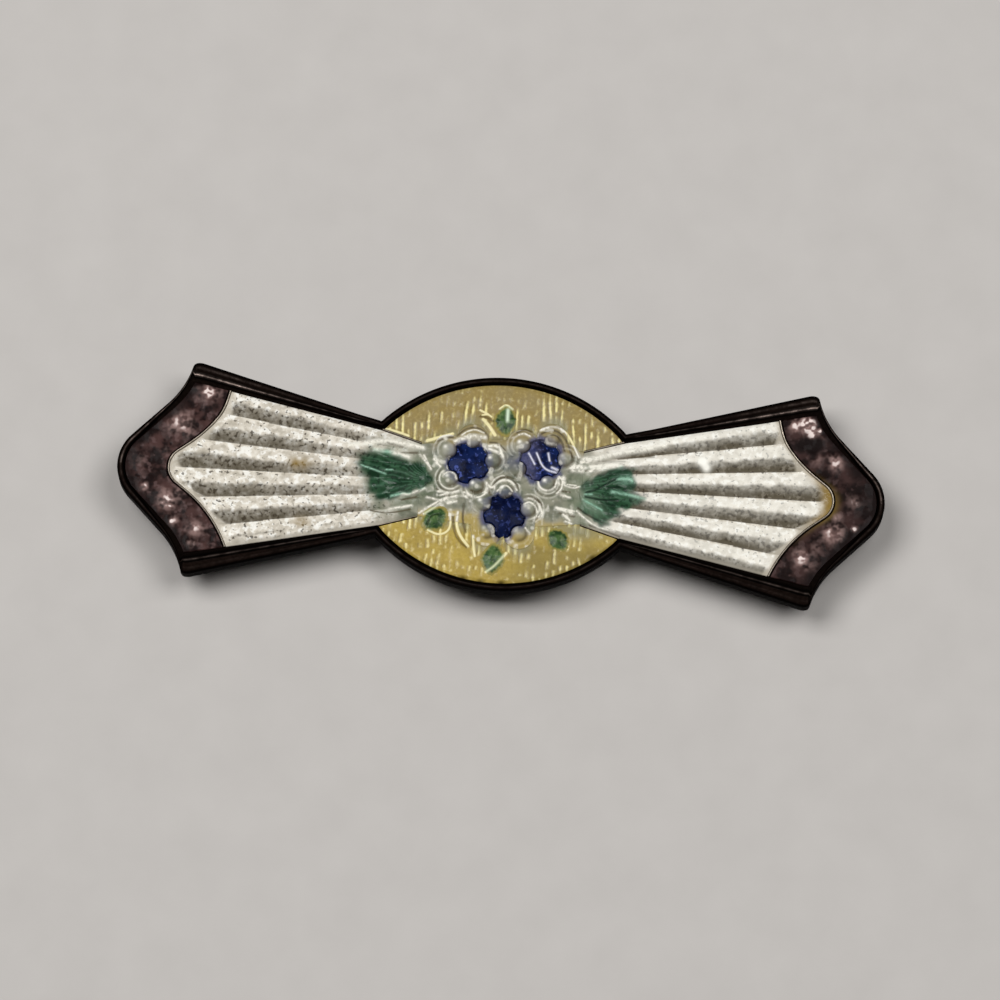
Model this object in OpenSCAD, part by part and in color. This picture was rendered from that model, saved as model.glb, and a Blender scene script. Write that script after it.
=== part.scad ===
// Bar pin in die-struck silver with coloured enamel, lying face up on its pin fittings.
// X runs along the bar, Y across it and Z up. The origin is under the middle of the plate,
// on the surface that the fittings rest on. Sizes are in millimetres, angles in degrees.

/* [Plate] */
// Half length, from the middle to the tip of an ogee end
nose_x = 22.25; // [21.75:0.25:22.75]
// Half width at the flared wing corners
corner_y = 6.4; // [6.2:0.1:6.5]
// Distance along the bar where a wing's edge meets the oval
waist_x = 7.1; // [6.9:0.1:7.3]
// Half width there
waist_y = 3.36; // [3.3:0.02:3.42]
// Half length of the oval
oval_a = 8.4; // [8.3:0.05:8.5]
// Half width of the oval
oval_b = 6.34; // [6.2:0.02:6.4]
// Radius of the small arcs at the oval's ends
oval_end_r = 5; // [4.9:0.05:5.1]
// Thickness of the plate at its rims
plate_t = 1.3; // [1.2:0.05:1.6]
// Height of the plate's back above the surface that it rests on
standoff = 2.6; // [2.5:0.1:3]

/* [Ogee ends] */
// Radius of the round nose
nose_r = 2.5; // [2.4:0.05:2.6]
// Lean of the straight flank beside the nose
nose_lean = 45; // [43:1:47]
// Length of that flank
nose_flank = 2.83; // [2.7:0.05:2.95]
// Radius of the hollow curve that runs out to the corner
nose_hollow_r = 5; // [4.8:0.1:5.2]

/* [Seams between the end and wing enamels] */
// Distance from the middle to the seam's tip
seam_x = 19.3; // [19:0.1:19.5]
// Radius of its nose
seam_r = 1.2; // [1:0.1:1.4]
// Lean of its flank
seam_lean = 53; // [51:1:55]
// Length of its flank
seam_flank = 0.8; // [0.6:0.1:1]
// Radius of its hollow curve
seam_hollow_r = 7.5; // [7:0.25:8]
// Width of the raised line along every seam
seam_w = 0.18; // [0.14:0.02:0.22]

/* [Rims and borders] */
// Width of the rim round the ogee ends and the oval
rim_w = 0.45; // [0.35:0.05:0.55]
// Width of a wing's stepped border at the waist
border_w = 0.5; // [0.46:0.02:0.54]
// Slope of a wing field's edge, less steep than the plate's own edge
field_slope = 0.205; // [0.195:0.005:0.215]
// Slope of the seams that run on into the oval
inner_slope = 0.3; // [0.25:0.05:0.35]
// Width of the border's outer ledge at the corner
ledge_w = 0.75; // [0.6:0.05:0.85]
// Depth of the ledge below the rims
ledge_drop = 0.15; // [0.1:0.05:0.2]
// Depth of the enamel recesses below the rims
recess = 0.5; // [0.4:0.05:0.6]
// Gap between an enamel piece and the silver round it
gap = 0.03; // [0.02:0.01:0.04]

/* [Flutes] */
// Slope between neighbouring ridges, which fan out from one point
ridge_slope = 0.0753; // [0.07:0.001:0.08]
// Distance of that point behind the middle of the plate
fan_x = 5.7; // [5:0.1:6.5]
// Half height of the ridges at the seam's tip
ridge_h = 0.15; // [0.1:0.01:0.17]
// Flat strips across each ridge
ridge_steps = 8; // [6:2:10]

/* [Spray of flowers] */
// Half length of the raised ground under the spray
ground_x = 4.55; // [4.4:0.05:4.7]
// Half width of that ground in the middle
ground_y = 2.6; // [2.4:0.1:2.8]
// Depth of the ground below the rims
ground_drop = 0.12; // [0.08:0.02:0.16]
// Radius of a petal's round lobe
petal_r = 0.9; // [0.8:0.05:0.95]
// Height of a petal above the ground
petal_h = 0.12; // [0.08:0.02:0.16]
// Distance from a flower's middle to the middle of each petal
petal_d = 1.42; // [1.36:0.02:1.48]
// Radius of the bead on a petal
bead_r = 0.46; // [0.4:0.02:0.52]
// Height of a bead's top above the rims
bead_rise = 0.28; // [0.2:0.02:0.34]
// Radius of a blue flower centre
blue_r = 1.2; // [1.1:0.05:1.3]
// Height of its dome above the rims
blue_rise = 0.1; // [0.05:0.05:0.2]

/* [Leaves] */
// Thickness of a leaf at its edge
leaf_edge = 0.08; // [0.06:0.02:0.12]
// Height of a leaf's midrib above its underside
leaf_rise = 0.3; // [0.2:0.05:0.4]
// Radius of the heel that joins the lobes of a large leaf
heel_r = 0.3; // [0.2:0.05:0.4]

/* [Back pin] */
// Distance from the middle to the hinge and to the catch
fitting_x = 14.5; // [13:0.5:15.5]
// Width of the hinge barrel across the bar
hinge_w = 3.6; // [3:0.2:4.4]
// Outer radius of the hinge barrel and of the catch's ring
fitting_r = 1.2; // [1.2:0.02:1.24]
// Height of their axis, a little less, so that each has a small flat foot
fitting_z = 1.15; // [1.12:0.01:1.16]
// Inner radius of the catch's ring
catch_r = 0.7; // [0.66:0.02:0.74]
// Width of the catch along the bar
catch_w = 1.5; // [1.2:0.1:2]
// Height of the catch's mouth
catch_mouth = 0.9; // [0.84:0.02:0.96]
// Diameter of the pin stem
stem_d = 0.8; // [0.7:0.05:0.9]
// Height of the stem's axis
stem_z = 0.82; // [0.8:0.01:0.84]
// Length of the stem's point
point_l = 2; // [1.5:0.25:2.5]
// Length of the pads that join hinge and catch to the plate, as wide as the hinge
pad_l = 3.4; // [3:0.2:4]
// Thickness of those pads
pad_t = 0.45; // [0.4:0.05:0.5]

/* [Hidden] */
$fn = 96;

// Flowers: middle along the bar, middle across it, and the turn of each petal
flowers = [
  [-1.92, 1.14, [9, 83, 149, 224, 290]],
  [2.25, 1.52, [7, 66, 142, 204, 289]],
  [0.32, -1.78, [16, 92, 155, 227, 309]]
];

// Lobes of the large leaves, measured out from the stem: length, width, turn
left_lobes = [
  [3.5, 1.3, 25],
  [3.95, 1.5, 9],
  [3.2, 1.3, -24]
];
right_lobes = [
  [3.4, 1.3, 27],
  [3.8, 1.5, -4],
  [2.4, 1.25, -46]
];
// Place of each large leaf's stem, measured out from the middle
left_stem = [4.2, 0];
right_stem = [4.6, -0.1];

// Small leaves: base along the bar, base across it, length, width, turn
bud_row = [0.08, 2.86, 1.65, 1.25, 90];
lower_left_row = [-3.12, -1.72, 1.6, 1.3, 224];
bottom_row = [-0.14, -3.6, 1.7, 1.25, 264];
lower_right_row = [3.0, -2.65, 1.35, 1.0, 315];

// Ridges across a wing
ridges = 6;

z_top = standoff + plate_t;
z_floor = z_top - recess;
z_ground = z_top - ground_drop;
z_leaf = z_ground + gap;
z_flute = z_top - ridge_h - gap;
tall = 5;

// An ogee curve is a row: tip, nose radius, lean, flank length, hollow radius
END = [nose_x, nose_r, nose_lean, nose_flank, nose_hollow_r];
SEAM = [seam_x, seam_r, seam_lean, seam_flank, seam_hollow_r];
hollow_sweep = 36;

function along(turn) = [cos(turn), sin(turn)];
function nose_middle(o) = [o[0] - o[1], 0];
function hollow_middle(o) =
  nose_middle(o) + o[3] * along(o[2] + 90) + (o[1] + o[4]) * along(o[2]);
function hollow_x(o, y) = hollow_middle(o).x - sqrt(o[4] ^ 2 - (hollow_middle(o).y - y) ^ 2);

corner_x = hollow_x(END, corner_y);
edge_slope = (corner_y - waist_y) / (corner_x - waist_x);
function edge_y(x) = waist_y + (x - waist_x) * edge_slope;
function field_y(x) = waist_y - border_w + (x - waist_x) * field_slope;
function inner_y(x) = field_y(waist_x) + (x - waist_x) * inner_slope;

module both_sides() {
  children();
  mirror([0, 1]) children();
}

// Everything left of an ogee curve, drawn inset from it
module ogee_side(o, inset = 0) {
  start = nose_middle(o) + (o[1] - inset) * along(o[2]);
  knee = start + o[3] * along(o[2] + 90);
  last = hollow_middle(o) - (o[4] + inset) * along(o[2] - hollow_sweep);
  difference() {
    union() {
      translate(nose_middle(o)) circle(o[1] - inset);
      polygon([
        start, knee, last, [0, last.y],
        [0, -last.y], [last.x, -last.y], [knee.x, -knee.y], [start.x, -start.y]
      ]);
    }
    both_sides() translate(hollow_middle(o)) circle(o[4] + inset);
  }
}

// Strip between a wing field's two edges, from the spray outwards
module field_wedge(inset = 0) {
  far = nose_x + 1;
  polygon([
    [ground_x, inner_y(ground_x) - inset], [waist_x, field_y(waist_x) - inset],
    [far, field_y(far) - inset], [far, inset - field_y(far)],
    [waist_x, inset - field_y(waist_x)], [ground_x, inset - inner_y(ground_x)]
  ]);
}

// Oval of four arcs that run into each other
module oval(inset = 0) {
  end_x = oval_a - oval_end_r;
  rest = oval_b - oval_end_r;
  side_y = (end_x ^ 2 - rest ^ 2) / (2 * rest);
  side_r = oval_b + side_y;
  join_x = end_x * side_r / (side_r - oval_end_r);
  intersection() {
    square([2 * join_x, 4 * oval_b], center = true);
    translate([0, -side_y]) circle(side_r - inset);
    translate([0, side_y]) circle(side_r - inset);
  }
  for (side = [-1, 1]) translate([side * end_x, 0]) circle(oval_end_r - inset);
}

// Outline of the right half of the bow
module wing_outline() {
  far = nose_x + 1;
  intersection() {
    ogee_side(END);
    polygon([
      [0, 1], [waist_x, waist_y], [far, edge_y(far)],
      [far, -edge_y(far)], [waist_x, -waist_y], [0, -1]
    ]);
  }
}

// Recess of a wing's white enamel
module wing_field(inset = 0) {
  intersection() {
    ogee_side(SEAM, seam_w / 2 + inset);
    difference() {
      field_wedge(inset);
      translate([ground_x, 0]) square([2 * (seam_w + inset), tall], center = true);
    }
  }
}

// Recess of an ogee end's enamel
module end_field(inset = 0) {
  difference() {
    intersection() {
      ogee_side(END, rim_w + inset);
      field_wedge(inset);
    }
    ogee_side(SEAM, -seam_w / 2 - inset);
  }
}

// Ground under the spray, with a round lobe for each petal
module spray_ground(grow = 0) {
  side_x = ground_x + grow;
  side_y = inner_y(ground_x) + seam_w / 2 + grow;
  polygon([
    [side_x, side_y], [0, ground_y + grow], [-side_x, side_y],
    [-side_x, -side_y], [0, -ground_y - grow], [side_x, -side_y]
  ]);
  for (flower = flowers) {
    at_petals(flower) circle(petal_r + grow);
    translate([flower[0], flower[1]]) circle(blue_r + seam_w + grow);
  }
}

// Recess of the yellow enamel on one side of the spray
module oval_field(side, inset = 0) {
  difference() {
    intersection() {
      oval(rim_w + inset);
      translate([-oval_a, side > 0 ? 0 : -oval_b]) square([2 * oval_a, oval_b]);
    }
    for (end = [0, 1]) mirror([end, 0]) field_wedge(-seam_w / 2 - inset);
    spray_ground(inset);
  }
}

module at_petals(flower) {
  for (turn = flower[2])
    translate([flower[0] + petal_d * cos(turn), flower[1] + petal_d * sin(turn)])
      children();
}

// Leaf outline with two round edges, from its base at the origin along X
module lens(length, width, grow = 0) {
  edge_r = (length ^ 2 + width ^ 2) / (4 * width);
  intersection_for(side = [-1, 1])
    translate([length / 2, side * (edge_r - width / 2)]) circle(edge_r + grow);
}

// Leaf blade whose two halves slope up to a midrib
module leaf_blade(length, width) {
  intersection() {
    linear_extrude(leaf_rise) lens(length, width);
    rotate([90, 0, 90])
      linear_extrude(length)
        polygon([
          [-width / 2, 0], [width / 2, 0], [width / 2, leaf_edge],
          [0, leaf_rise], [-width / 2, leaf_edge]
        ]);
  }
}

module lobed_leaf(stem, lobes) {
  translate([stem.x, stem.y, z_leaf]) {
    cylinder(h = leaf_rise, r = heel_r);
    for (lobe = lobes) rotate(lobe[2]) leaf_blade(lobe[0], lobe[1]);
  }
}

module lobed_bed(stem, lobes) {
  translate([stem.x, stem.y, z_leaf - gap]) linear_extrude(tall) {
    circle(heel_r + gap);
    for (lobe = lobes) rotate(lobe[2]) lens(lobe[0], lobe[1], gap);
  }
}

module small_leaf(row) {
  color("darkolivegreen")
    translate([row[0], row[1], z_leaf]) rotate(row[4]) leaf_blade(row[2], row[3]);
}

module small_bed(row) {
  translate([row[0], row[1], z_leaf - gap])
    rotate(row[4]) linear_extrude(tall) lens(row[2], row[3], gap);
}

// Fan of flat strips from one point, whose ridges grow with the distance from it
module flute_fan() {
  far = nose_x;
  reach = far + fan_x;
  swing = ridge_h * reach / (seam_x + fan_x);
  count = (ridges + 1) * ridge_steps;
  low = z_floor - 1;
  slopes = [for (i = [0:count]) ridge_slope * (i / ridge_steps - (ridges + 1) / 2)];
  tops = [for (s = slopes) [far, s * reach, z_flute - swing * cos(360 * s / ridge_slope)]];
  bottoms = [for (s = slopes) [far, s * reach, low]];
  first_top = 2;
  first_bottom = first_top + count + 1;
  last_top = first_top + count;
  last_bottom = first_bottom + count;
  polyhedron(
    points = concat([[-fan_x, 0, z_flute], [-fan_x, 0, low]], tops, bottoms),
    faces = concat(
      [for (i = [0:count - 1]) [0, first_top + i + 1, first_top + i]],
      [for (i = [0:count - 1]) [1, first_bottom + i, first_bottom + i + 1]],
      [for (i = [0:count - 1]) [first_top + i, first_top + i + 1, first_bottom + i + 1]],
      [for (i = [0:count - 1]) [first_top + i, first_bottom + i + 1, first_bottom + i]],
      [[0, first_top, first_bottom], [0, first_bottom, 1]],
      [[0, last_bottom, last_top], [0, 1, last_bottom]]
    )
  );
}

// Border step outside the raised line along a wing's edge
module ledge() {
  far = nose_x;
  polygon([
    [waist_x + 1, edge_y(waist_x + 1) - seam_w / 2],
    [corner_x, corner_y - ledge_w], [far, edge_y(far) - ledge_w],
    [far, edge_y(far) + 1], [waist_x + 1, edge_y(waist_x + 1) + 1]
  ]);
}

module petal_relief() {
  bead_z = z_top + bead_rise - bead_r;
  for (flower = flowers) at_petals(flower) {
    translate([0, 0, bead_z]) sphere(bead_r);
    translate([0, 0, z_floor]) cylinder(h = bead_z - z_floor, r = bead_r);
  }
}

module plate() {
  color("#3a2b28") {
    difference() {
      union() {
        translate([0, 0, standoff]) linear_extrude(plate_t - ground_drop) {
          oval();
          for (end = [0, 1]) mirror([end, 0]) wing_outline();
        }
        translate([0, 0, standoff]) linear_extrude(plate_t) difference() {
          union() {
            oval();
            for (end = [0, 1]) mirror([end, 0]) wing_outline();
          }
          spray_ground();
        }
        translate([0, 0, standoff]) linear_extrude(plate_t - ground_drop + petal_h)
          for (flower = flowers) at_petals(flower) circle(petal_r);
      }
      translate([0, 0, z_floor]) linear_extrude(tall) {
        for (end = [0, 1]) mirror([end, 0]) {
          wing_field();
          end_field();
        }
        oval_field(1);
        oval_field(-1);
        for (flower = flowers) translate([flower[0], flower[1]]) circle(blue_r + gap);
      }
      translate([0, 0, z_top - ledge_drop]) linear_extrude(tall)
        for (end = [0, 1]) mirror([end, 0]) both_sides() ledge();
      mirror([1, 0, 0]) lobed_bed(left_stem, left_lobes);
      lobed_bed(right_stem, right_lobes);
      for (row = [bud_row, lower_left_row, bottom_row, lower_right_row]) small_bed(row);
    }
    petal_relief();
  }
}

// White fluted enamel of one wing, cut back where the leaf lies
module wing_enamel(stem, lobes) {
  color("#e6e1d3") difference() {
    intersection() {
      flute_fan();
      translate([0, 0, z_floor + gap]) linear_extrude(tall) wing_field(gap);
    }
    lobed_bed(stem, lobes);
  }
}

module wing_enamel_left() {
  mirror([1, 0, 0]) wing_enamel(left_stem, left_lobes);
}

module wing_enamel_right() {
  wing_enamel(right_stem, right_lobes);
}

module end_enamel() {
  color("#54403f")
    translate([0, 0, z_floor + gap])
      linear_extrude(recess - 2 * gap) end_field(gap);
}

module end_enamel_left() {
  mirror([1, 0, 0]) end_enamel();
}

module end_enamel_right() {
  end_enamel();
}

// Yellow enamel on one side of the spray, cut back where the small leaves lie
module oval_enamel(side, rows) {
  color("#b39c55") difference() {
    translate([0, 0, z_floor + gap])
      linear_extrude(recess - 2 * gap) oval_field(side, gap);
    for (row = rows) small_bed(row);
  }
}

module oval_enamel_top() {
  oval_enamel(1, [bud_row]);
}

module oval_enamel_bottom() {
  oval_enamel(-1, [lower_left_row, bottom_row, lower_right_row]);
}

// Blue domed centre, which the beads round it cut into a star
module flower_centre(flower) {
  dome_h = z_top + blue_rise - z_ground;
  dome_r = (blue_r ^ 2 + dome_h ^ 2) / (2 * dome_h);
  color("#1b2a66") difference() {
    translate([flower[0], flower[1], z_floor + gap]) intersection() {
      cylinder(h = tall, r = blue_r);
      translate([0, 0, z_top + blue_rise - z_floor - gap - dome_r]) sphere(dome_r);
    }
    at_petals(flower) translate([0, 0, z_floor - 1]) cylinder(h = tall, r = bead_r + gap);
  }
}

module flower_left() {
  flower_centre(flowers[0]);
}

module flower_right() {
  flower_centre(flowers[1]);
}

module flower_lower() {
  flower_centre(flowers[2]);
}

module leaf_left() {
  color("#2f5c46") mirror([1, 0, 0]) lobed_leaf(left_stem, left_lobes);
}

module leaf_right() {
  color("#2f5c46") lobed_leaf(right_stem, right_lobes);
}

module bud_top() {
  small_leaf(bud_row);
}

module leaf_lower_left() {
  small_leaf(lower_left_row);
}

module leaf_bottom() {
  small_leaf(bottom_row);
}

module leaf_lower_right() {
  small_leaf(lower_right_row);
}

module pad(x) {
  translate([x, 0, standoff - gap - pad_t / 2]) cube([pad_l, hinge_w, pad_t], center = true);
}

// Barrel and web of the hinge
module hinge_block() {
  translate([fitting_x, 0, fitting_z])
    rotate([90, 0, 0]) cylinder(h = hinge_w, r = fitting_r, center = true);
  translate([fitting_x, 0, (standoff - gap + fitting_z) / 2])
    cube([fitting_r, hinge_w, standoff - gap - fitting_z], center = true);
}

// Ring of the catch, open at one side
module catch_ring() {
  translate([-fitting_x, 0, fitting_z]) rotate([90, 0, 90]) difference() {
    cylinder(h = catch_w, r = fitting_r, center = true);
    cylinder(h = 2 * catch_w, r = catch_r, center = true);
    translate([-fitting_r, 0, 0]) cube([fitting_r, catch_mouth, 2 * catch_w], center = true);
  }
  translate([-fitting_x, 0, (standoff - gap + fitting_z + fitting_r) / 2 - pad_t / 2])
    cube([catch_w, catch_w / 2, standoff - gap - fitting_z - fitting_r + pad_t], center = true);
}

module stem() {
  shank = 2 * fitting_x + catch_w;
  translate([fitting_x, 0, stem_z]) rotate([0, -90, 0]) {
    cylinder(h = shank, d = stem_d);
    translate([0, 0, shank]) cylinder(h = point_l, d1 = stem_d, d2 = stem_d / 4);
  }
}

module back_pin() {
  color("#8d8680") difference() {
    union() {
      pad(fitting_x);
      pad(-fitting_x);
      hinge_block();
      catch_ring();
      stem();
    }
    translate([-nose_x, -corner_y, -tall]) cube([2 * nose_x, 2 * corner_y, tall]);
  }
}

plate();
wing_enamel_left();
wing_enamel_right();
end_enamel_left();
end_enamel_right();
oval_enamel_top();
oval_enamel_bottom();
flower_left();
flower_right();
flower_lower();
leaf_left();
leaf_right();
bud_top();
leaf_lower_left();
leaf_bottom();
leaf_lower_right();
back_pin();
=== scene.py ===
import bpy
import numpy as np
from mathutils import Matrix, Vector


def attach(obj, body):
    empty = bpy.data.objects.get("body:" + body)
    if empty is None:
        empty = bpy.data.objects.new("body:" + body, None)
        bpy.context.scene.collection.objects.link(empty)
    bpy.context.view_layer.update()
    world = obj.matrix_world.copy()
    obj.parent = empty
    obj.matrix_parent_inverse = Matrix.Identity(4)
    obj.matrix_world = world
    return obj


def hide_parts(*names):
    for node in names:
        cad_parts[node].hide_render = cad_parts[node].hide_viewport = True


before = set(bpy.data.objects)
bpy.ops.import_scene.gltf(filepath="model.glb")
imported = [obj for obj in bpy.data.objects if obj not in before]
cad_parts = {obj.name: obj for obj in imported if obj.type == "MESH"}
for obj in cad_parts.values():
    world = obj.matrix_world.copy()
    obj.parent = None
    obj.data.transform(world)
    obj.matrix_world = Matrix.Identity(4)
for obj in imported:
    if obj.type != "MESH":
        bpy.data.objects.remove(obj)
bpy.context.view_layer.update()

# Silver plate: one piece of sheet silver, struck in a die so that its rims, stepped borders and
# seams stand round the recesses. Years of tarnish have left it nearly black, and it is rubbed
# to brown and pinkish silver along its raised lines; on the upper rims towards the ends that
# pale line is also a painted highlight along the crest.
# Lengths are in millimetres and heights are from the floor. MM turns them into metres.
MM = 0.001
PLATE_BACK = 2.6
RIM_TOP = 3.9
RIM_WIDTH = 0.45
FLOOR_DROP = 0.48
CORNER_Y = 6.4
WAIST = np.array([7.1, 3.36])
FIELD_WAIST, FIELD_SLOPE, NECK_SLOPE = 2.86, 0.205, 0.3
# The oval's small arcs: middle, radius, and where they join the wide arc, as a share of it. Then
# the wide arc's radius and how far its middle lies beyond the bar's axis.
OVAL_END, OVAL_SMALL, OVAL_JOIN = 3.4, 5.0, 0.6823
OVAL_WIDE, OVAL_DEEP = 9.983, 3.643
# An ogee's tip, nose radius, lean, length of flank and radius of hollow.
OGEE = (22.25, 2.5, np.radians(45), 2.83, 5.0)
NOSE_STEPS, EDGE_STEPS, OVAL_STEPS, SHEET_ROWS = 110, 90, 110, 30
# Points that the corner's rounding takes, and those over which a rim turns into a border.
ROUNDED_BEFORE, ROUNDED_AFTER = 7, 5
BORDER_STARTS, BORDER_ENDS = 9, 14
# The reeds would meet this far beyond the middle, and each slopes this much more than the last.
FAN_X, REED_SLOPE = 5.7, 0.0753
FITTING_X = 14.5
BACK_HOLLOW = 0.07
# Wear and ledge tone of the flat back and of the recess's floor.
FLAT_MARKS = {"worn": 0.12, "ledge": 0.9}
TARNISH_BLACK = (0.0022, 0.0014, 0.0011, 1)
TARNISH_BROWN = (0.0048, 0.0028, 0.0022, 1)
RUBBED_AND_HIGHLIT_SILVER = (0.30, 0.23, 0.20, 1)
LAPPED_ENAMEL = (0.34, 0.30, 0.24, 1)
# Rows of the section, from the back's edge up the wall and over to the recess: share of a
# rim's width, share of the border's further width, height below the rims, wear, which on the
# rim's crest also paints a highlight, and ledge tone.
RIM_ROWS = np.array([
    [0.20, 0, -1.30, 0.0, 0.1], [0.06, 0, -1.27, 0.1, 0.2], [0.00, 0, -1.20, 0.0, 0.1],
    [0.00, 0, -0.90, 0.0, 0.1], [0.00, 0, -0.55, 0.0, 0.2], [0.00, 0, -0.30, 0.1, 0.2],
    [0.00, 0, -0.14, 0.1, 0.1], [0.06, 0, -0.06, 0.1, 0.1], [0.16, 0, -0.02, 0.0, 0.2],
    [0.28, 0, -0.01, 0.0, 0.8], [0.38, 0, 0.00, 0.1, 1.0], [0.44, 0, 0.01, 0.3, 1.0],
    [0.50, 0, 0.01, 0.3, 1.0], [0.56, 0, 0.00, 0.1, 1.0], [0.62, 0, 0.00, 0.0, 0.9],
    [0.68, 0, -0.01, 0.0, 0.6], [0.74, 0, -0.02, 0.0, 0.2], [0.80, 0, -0.05, 0.0, 0.0],
    [0.86, 0, -0.08, 0.0, 0.0], [0.92, 0, -0.11, 0.0, 0.0], [0.96, 0, -0.13, 0.0, 0.0],
    [1.00, 1, -0.15, 0.0, 0.0], [1.00, 1, -FLOOR_DROP, 0.0, 0.0],
])
BORDER_ROWS = np.array([
    [0.20, 0.00, -1.30, 0.0, 0.1], [0.06, 0.00, -1.27, 0.1, 0.2], [0.00, 0.00, -1.20, 0.0, 0.1],
    [0.00, 0.00, -1.00, 0.0, 0.1], [0.00, 0.00, -0.70, 0.0, 0.2], [0.00, 0.00, -0.45, 0.1, 0.2],
    [0.00, 0.00, -0.29, 0.1, 0.0], [0.06, 0.00, -0.21, 0.0, 0.0], [0.18, 0.02, -0.16, 0.0, 0.1],
    [0.28, 0.12, -0.16, 0.0, 0.9], [0.36, 0.22, -0.155, 0.1, 1.0], [0.42, 0.32, -0.16, 0.0, 0.8],
    [0.50, 0.44, -0.16, 0.0, 0.9], [0.56, 0.50, -0.14, 0.1, 0.3], [0.60, 0.54, -0.03, 0.3, 0.2],
    [0.64, 0.58, 0.00, 0.7, 0.6], [0.70, 0.63, 0.00, 0.8, 0.6], [0.76, 0.68, -0.02, 0.3, 0.3],
    [0.81, 0.73, -0.10, 0.0, 0.0], [0.87, 0.80, -0.13, 0.0, 0.0], [0.94, 0.90, -0.14, 0.0, 0.0],
    [1.00, 1.00, -0.15, 0.0, 0.0], [1.00, 1.00, -FLOOR_DROP, 0.0, 0.0],
])


def ease(start, end, value):
    """Smooth step: 0 below start, 1 above end, and 3s^2 - 2s^3 in between."""
    s = np.clip((value - start) / (end - start), 0, 1)
    return s * s * (3 - 2 * s)


def bell(distance, width):
    """Rounded line: 1 on it, falling off as exp of minus (distance over width) squared."""
    return np.exp(-((distance / width) ** 2))


def grain(x, y, size, seed):
    """Smooth random heights from -1 to 1: seeded values at crossings size apart, eased between."""
    lattice = np.random.default_rng(seed).uniform(-1, 1, (64, 64))
    u, v = x / size + 500, y / size + 500
    i, j = np.floor(u).astype(int), np.floor(v).astype(int)
    s, t = ease(0, 1, u - i), ease(0, 1, v - j)
    near = lattice[i % 64, j % 64] * (1 - s) + lattice[(i + 1) % 64, j % 64] * s
    far = lattice[i % 64, (j + 1) % 64] * (1 - s) + lattice[(i + 1) % 64, (j + 1) % 64] * s
    return near * (1 - t) + far * t


def ogee_x(y, row, inset=0.0):
    """Distance along the bar of an ogee curve at height y: a round nose, a straight flank
    that leans back, then a hollow arc, all drawn inset from the curve in the row."""
    tip, nose, lean, flank, hollow = row
    y, c, s = np.abs(y), np.cos(lean), np.sin(lean)
    mid, r = tip - nose, nose - inset
    bay_x, bay_y = mid - flank * s + (nose + hollow) * c, flank * c + (nose + hollow) * s
    arc = mid + np.sqrt(np.maximum(r * r - y * y, 0))
    line = mid + r * c - (y - r * s) * s / c
    bay = bay_x - np.sqrt(np.maximum((hollow + inset) ** 2 - (bay_y - y) ** 2, 0))
    return np.where(y < r * s, arc, np.where(y < r * s + flank * c, line, bay))


CORNER_X = float(ogee_x(CORNER_Y, OGEE))


def edge_y(x):
    """Half width of the bow at its outer edge, a straight line from the waist to the corner."""
    return WAIST[1] + (x - WAIST[0]) * (CORNER_Y - WAIST[1]) / (CORNER_X - WAIST[0])


def field_y(x):
    """Half width of the enamel field, less steep than the edge, and steeper inside the oval."""
    return FIELD_WAIST + (x - WAIST[0]) * np.where(x < WAIST[0], NECK_SLOPE, FIELD_SLOPE)


def oval_y(x, inset=0.0):
    """Half width of the oval at x: a wide arc over the middle and a small arc at each end."""
    x, small = np.abs(x), OVAL_SMALL - inset
    wide = np.sqrt(np.maximum((OVAL_WIDE - inset) ** 2 - x * x, 0)) - OVAL_DEEP
    end = np.sqrt(np.maximum(small**2 - (x - OVAL_END) ** 2, 0))
    return np.where(x < OVAL_END + small * OVAL_JOIN, wide, end)


def oval_x(y, inset):
    """Distance along the bar of the oval's small arc at height y."""
    return OVAL_END + np.sqrt((OVAL_SMALL - inset) ** 2 - y**2)


def crossing(step, start):
    """Point where two lines meet, found by taking the step over and over."""
    for _ in range(80):
        start = step(start)
    return start


def quarter(inset):
    """Outline from the tip of the nose to the top of the oval, in three runs of points: the
    recess's, or with no inset the plate's own. That one's corner is rounded, as a parabola
    between two points that is pulled towards the corner."""
    border, corner_x = edge_y, CORNER_X
    if inset:
        border = field_y
        corner_x = crossing(lambda x: ogee_x(field_y(x), OGEE, inset), CORNER_X)
    corner = np.array([corner_x, border(corner_x)])
    waist_x = crossing(lambda x: oval_x(border(x), inset), WAIST[0])
    y = np.linspace(0, corner[1], NOSE_STEPS, endpoint=False)
    x = np.linspace(corner[0], waist_x, EDGE_STEPS, endpoint=False)
    a = np.linspace(waist_x, 0, OVAL_STEPS, endpoint=False)
    line = np.concatenate([
        np.stack([ogee_x(y, OGEE, inset), y], 1),
        np.stack([x, border(x)], 1),
        np.stack([a, oval_y(a, inset)], 1),
    ])
    if not inset:
        first, last = NOSE_STEPS - ROUNDED_BEFORE, NOSE_STEPS + ROUNDED_AFTER
        t = np.linspace(0, 1, last - first + 1)[:, None]
        pull = corner * 2 * t * (1 - t)
        line[first:last + 1] = line[first] * (1 - t) ** 2 + pull + line[last] * t * t
    return line


def whole_turn(inset):
    """Closed outline: a quarter, then its mirror images, each with the end point it needs."""
    part = quarter(inset)
    nose, top = [[OGEE[0] - inset, 0]], [[0, oval_y(0.0, inset)]]
    back = np.concatenate([top, part[:0:-1]])
    return np.concatenate([
        part, back * [-1, 1], np.concatenate([nose, part[1:]]) * [-1, -1], back * [1, -1]
    ])


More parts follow.
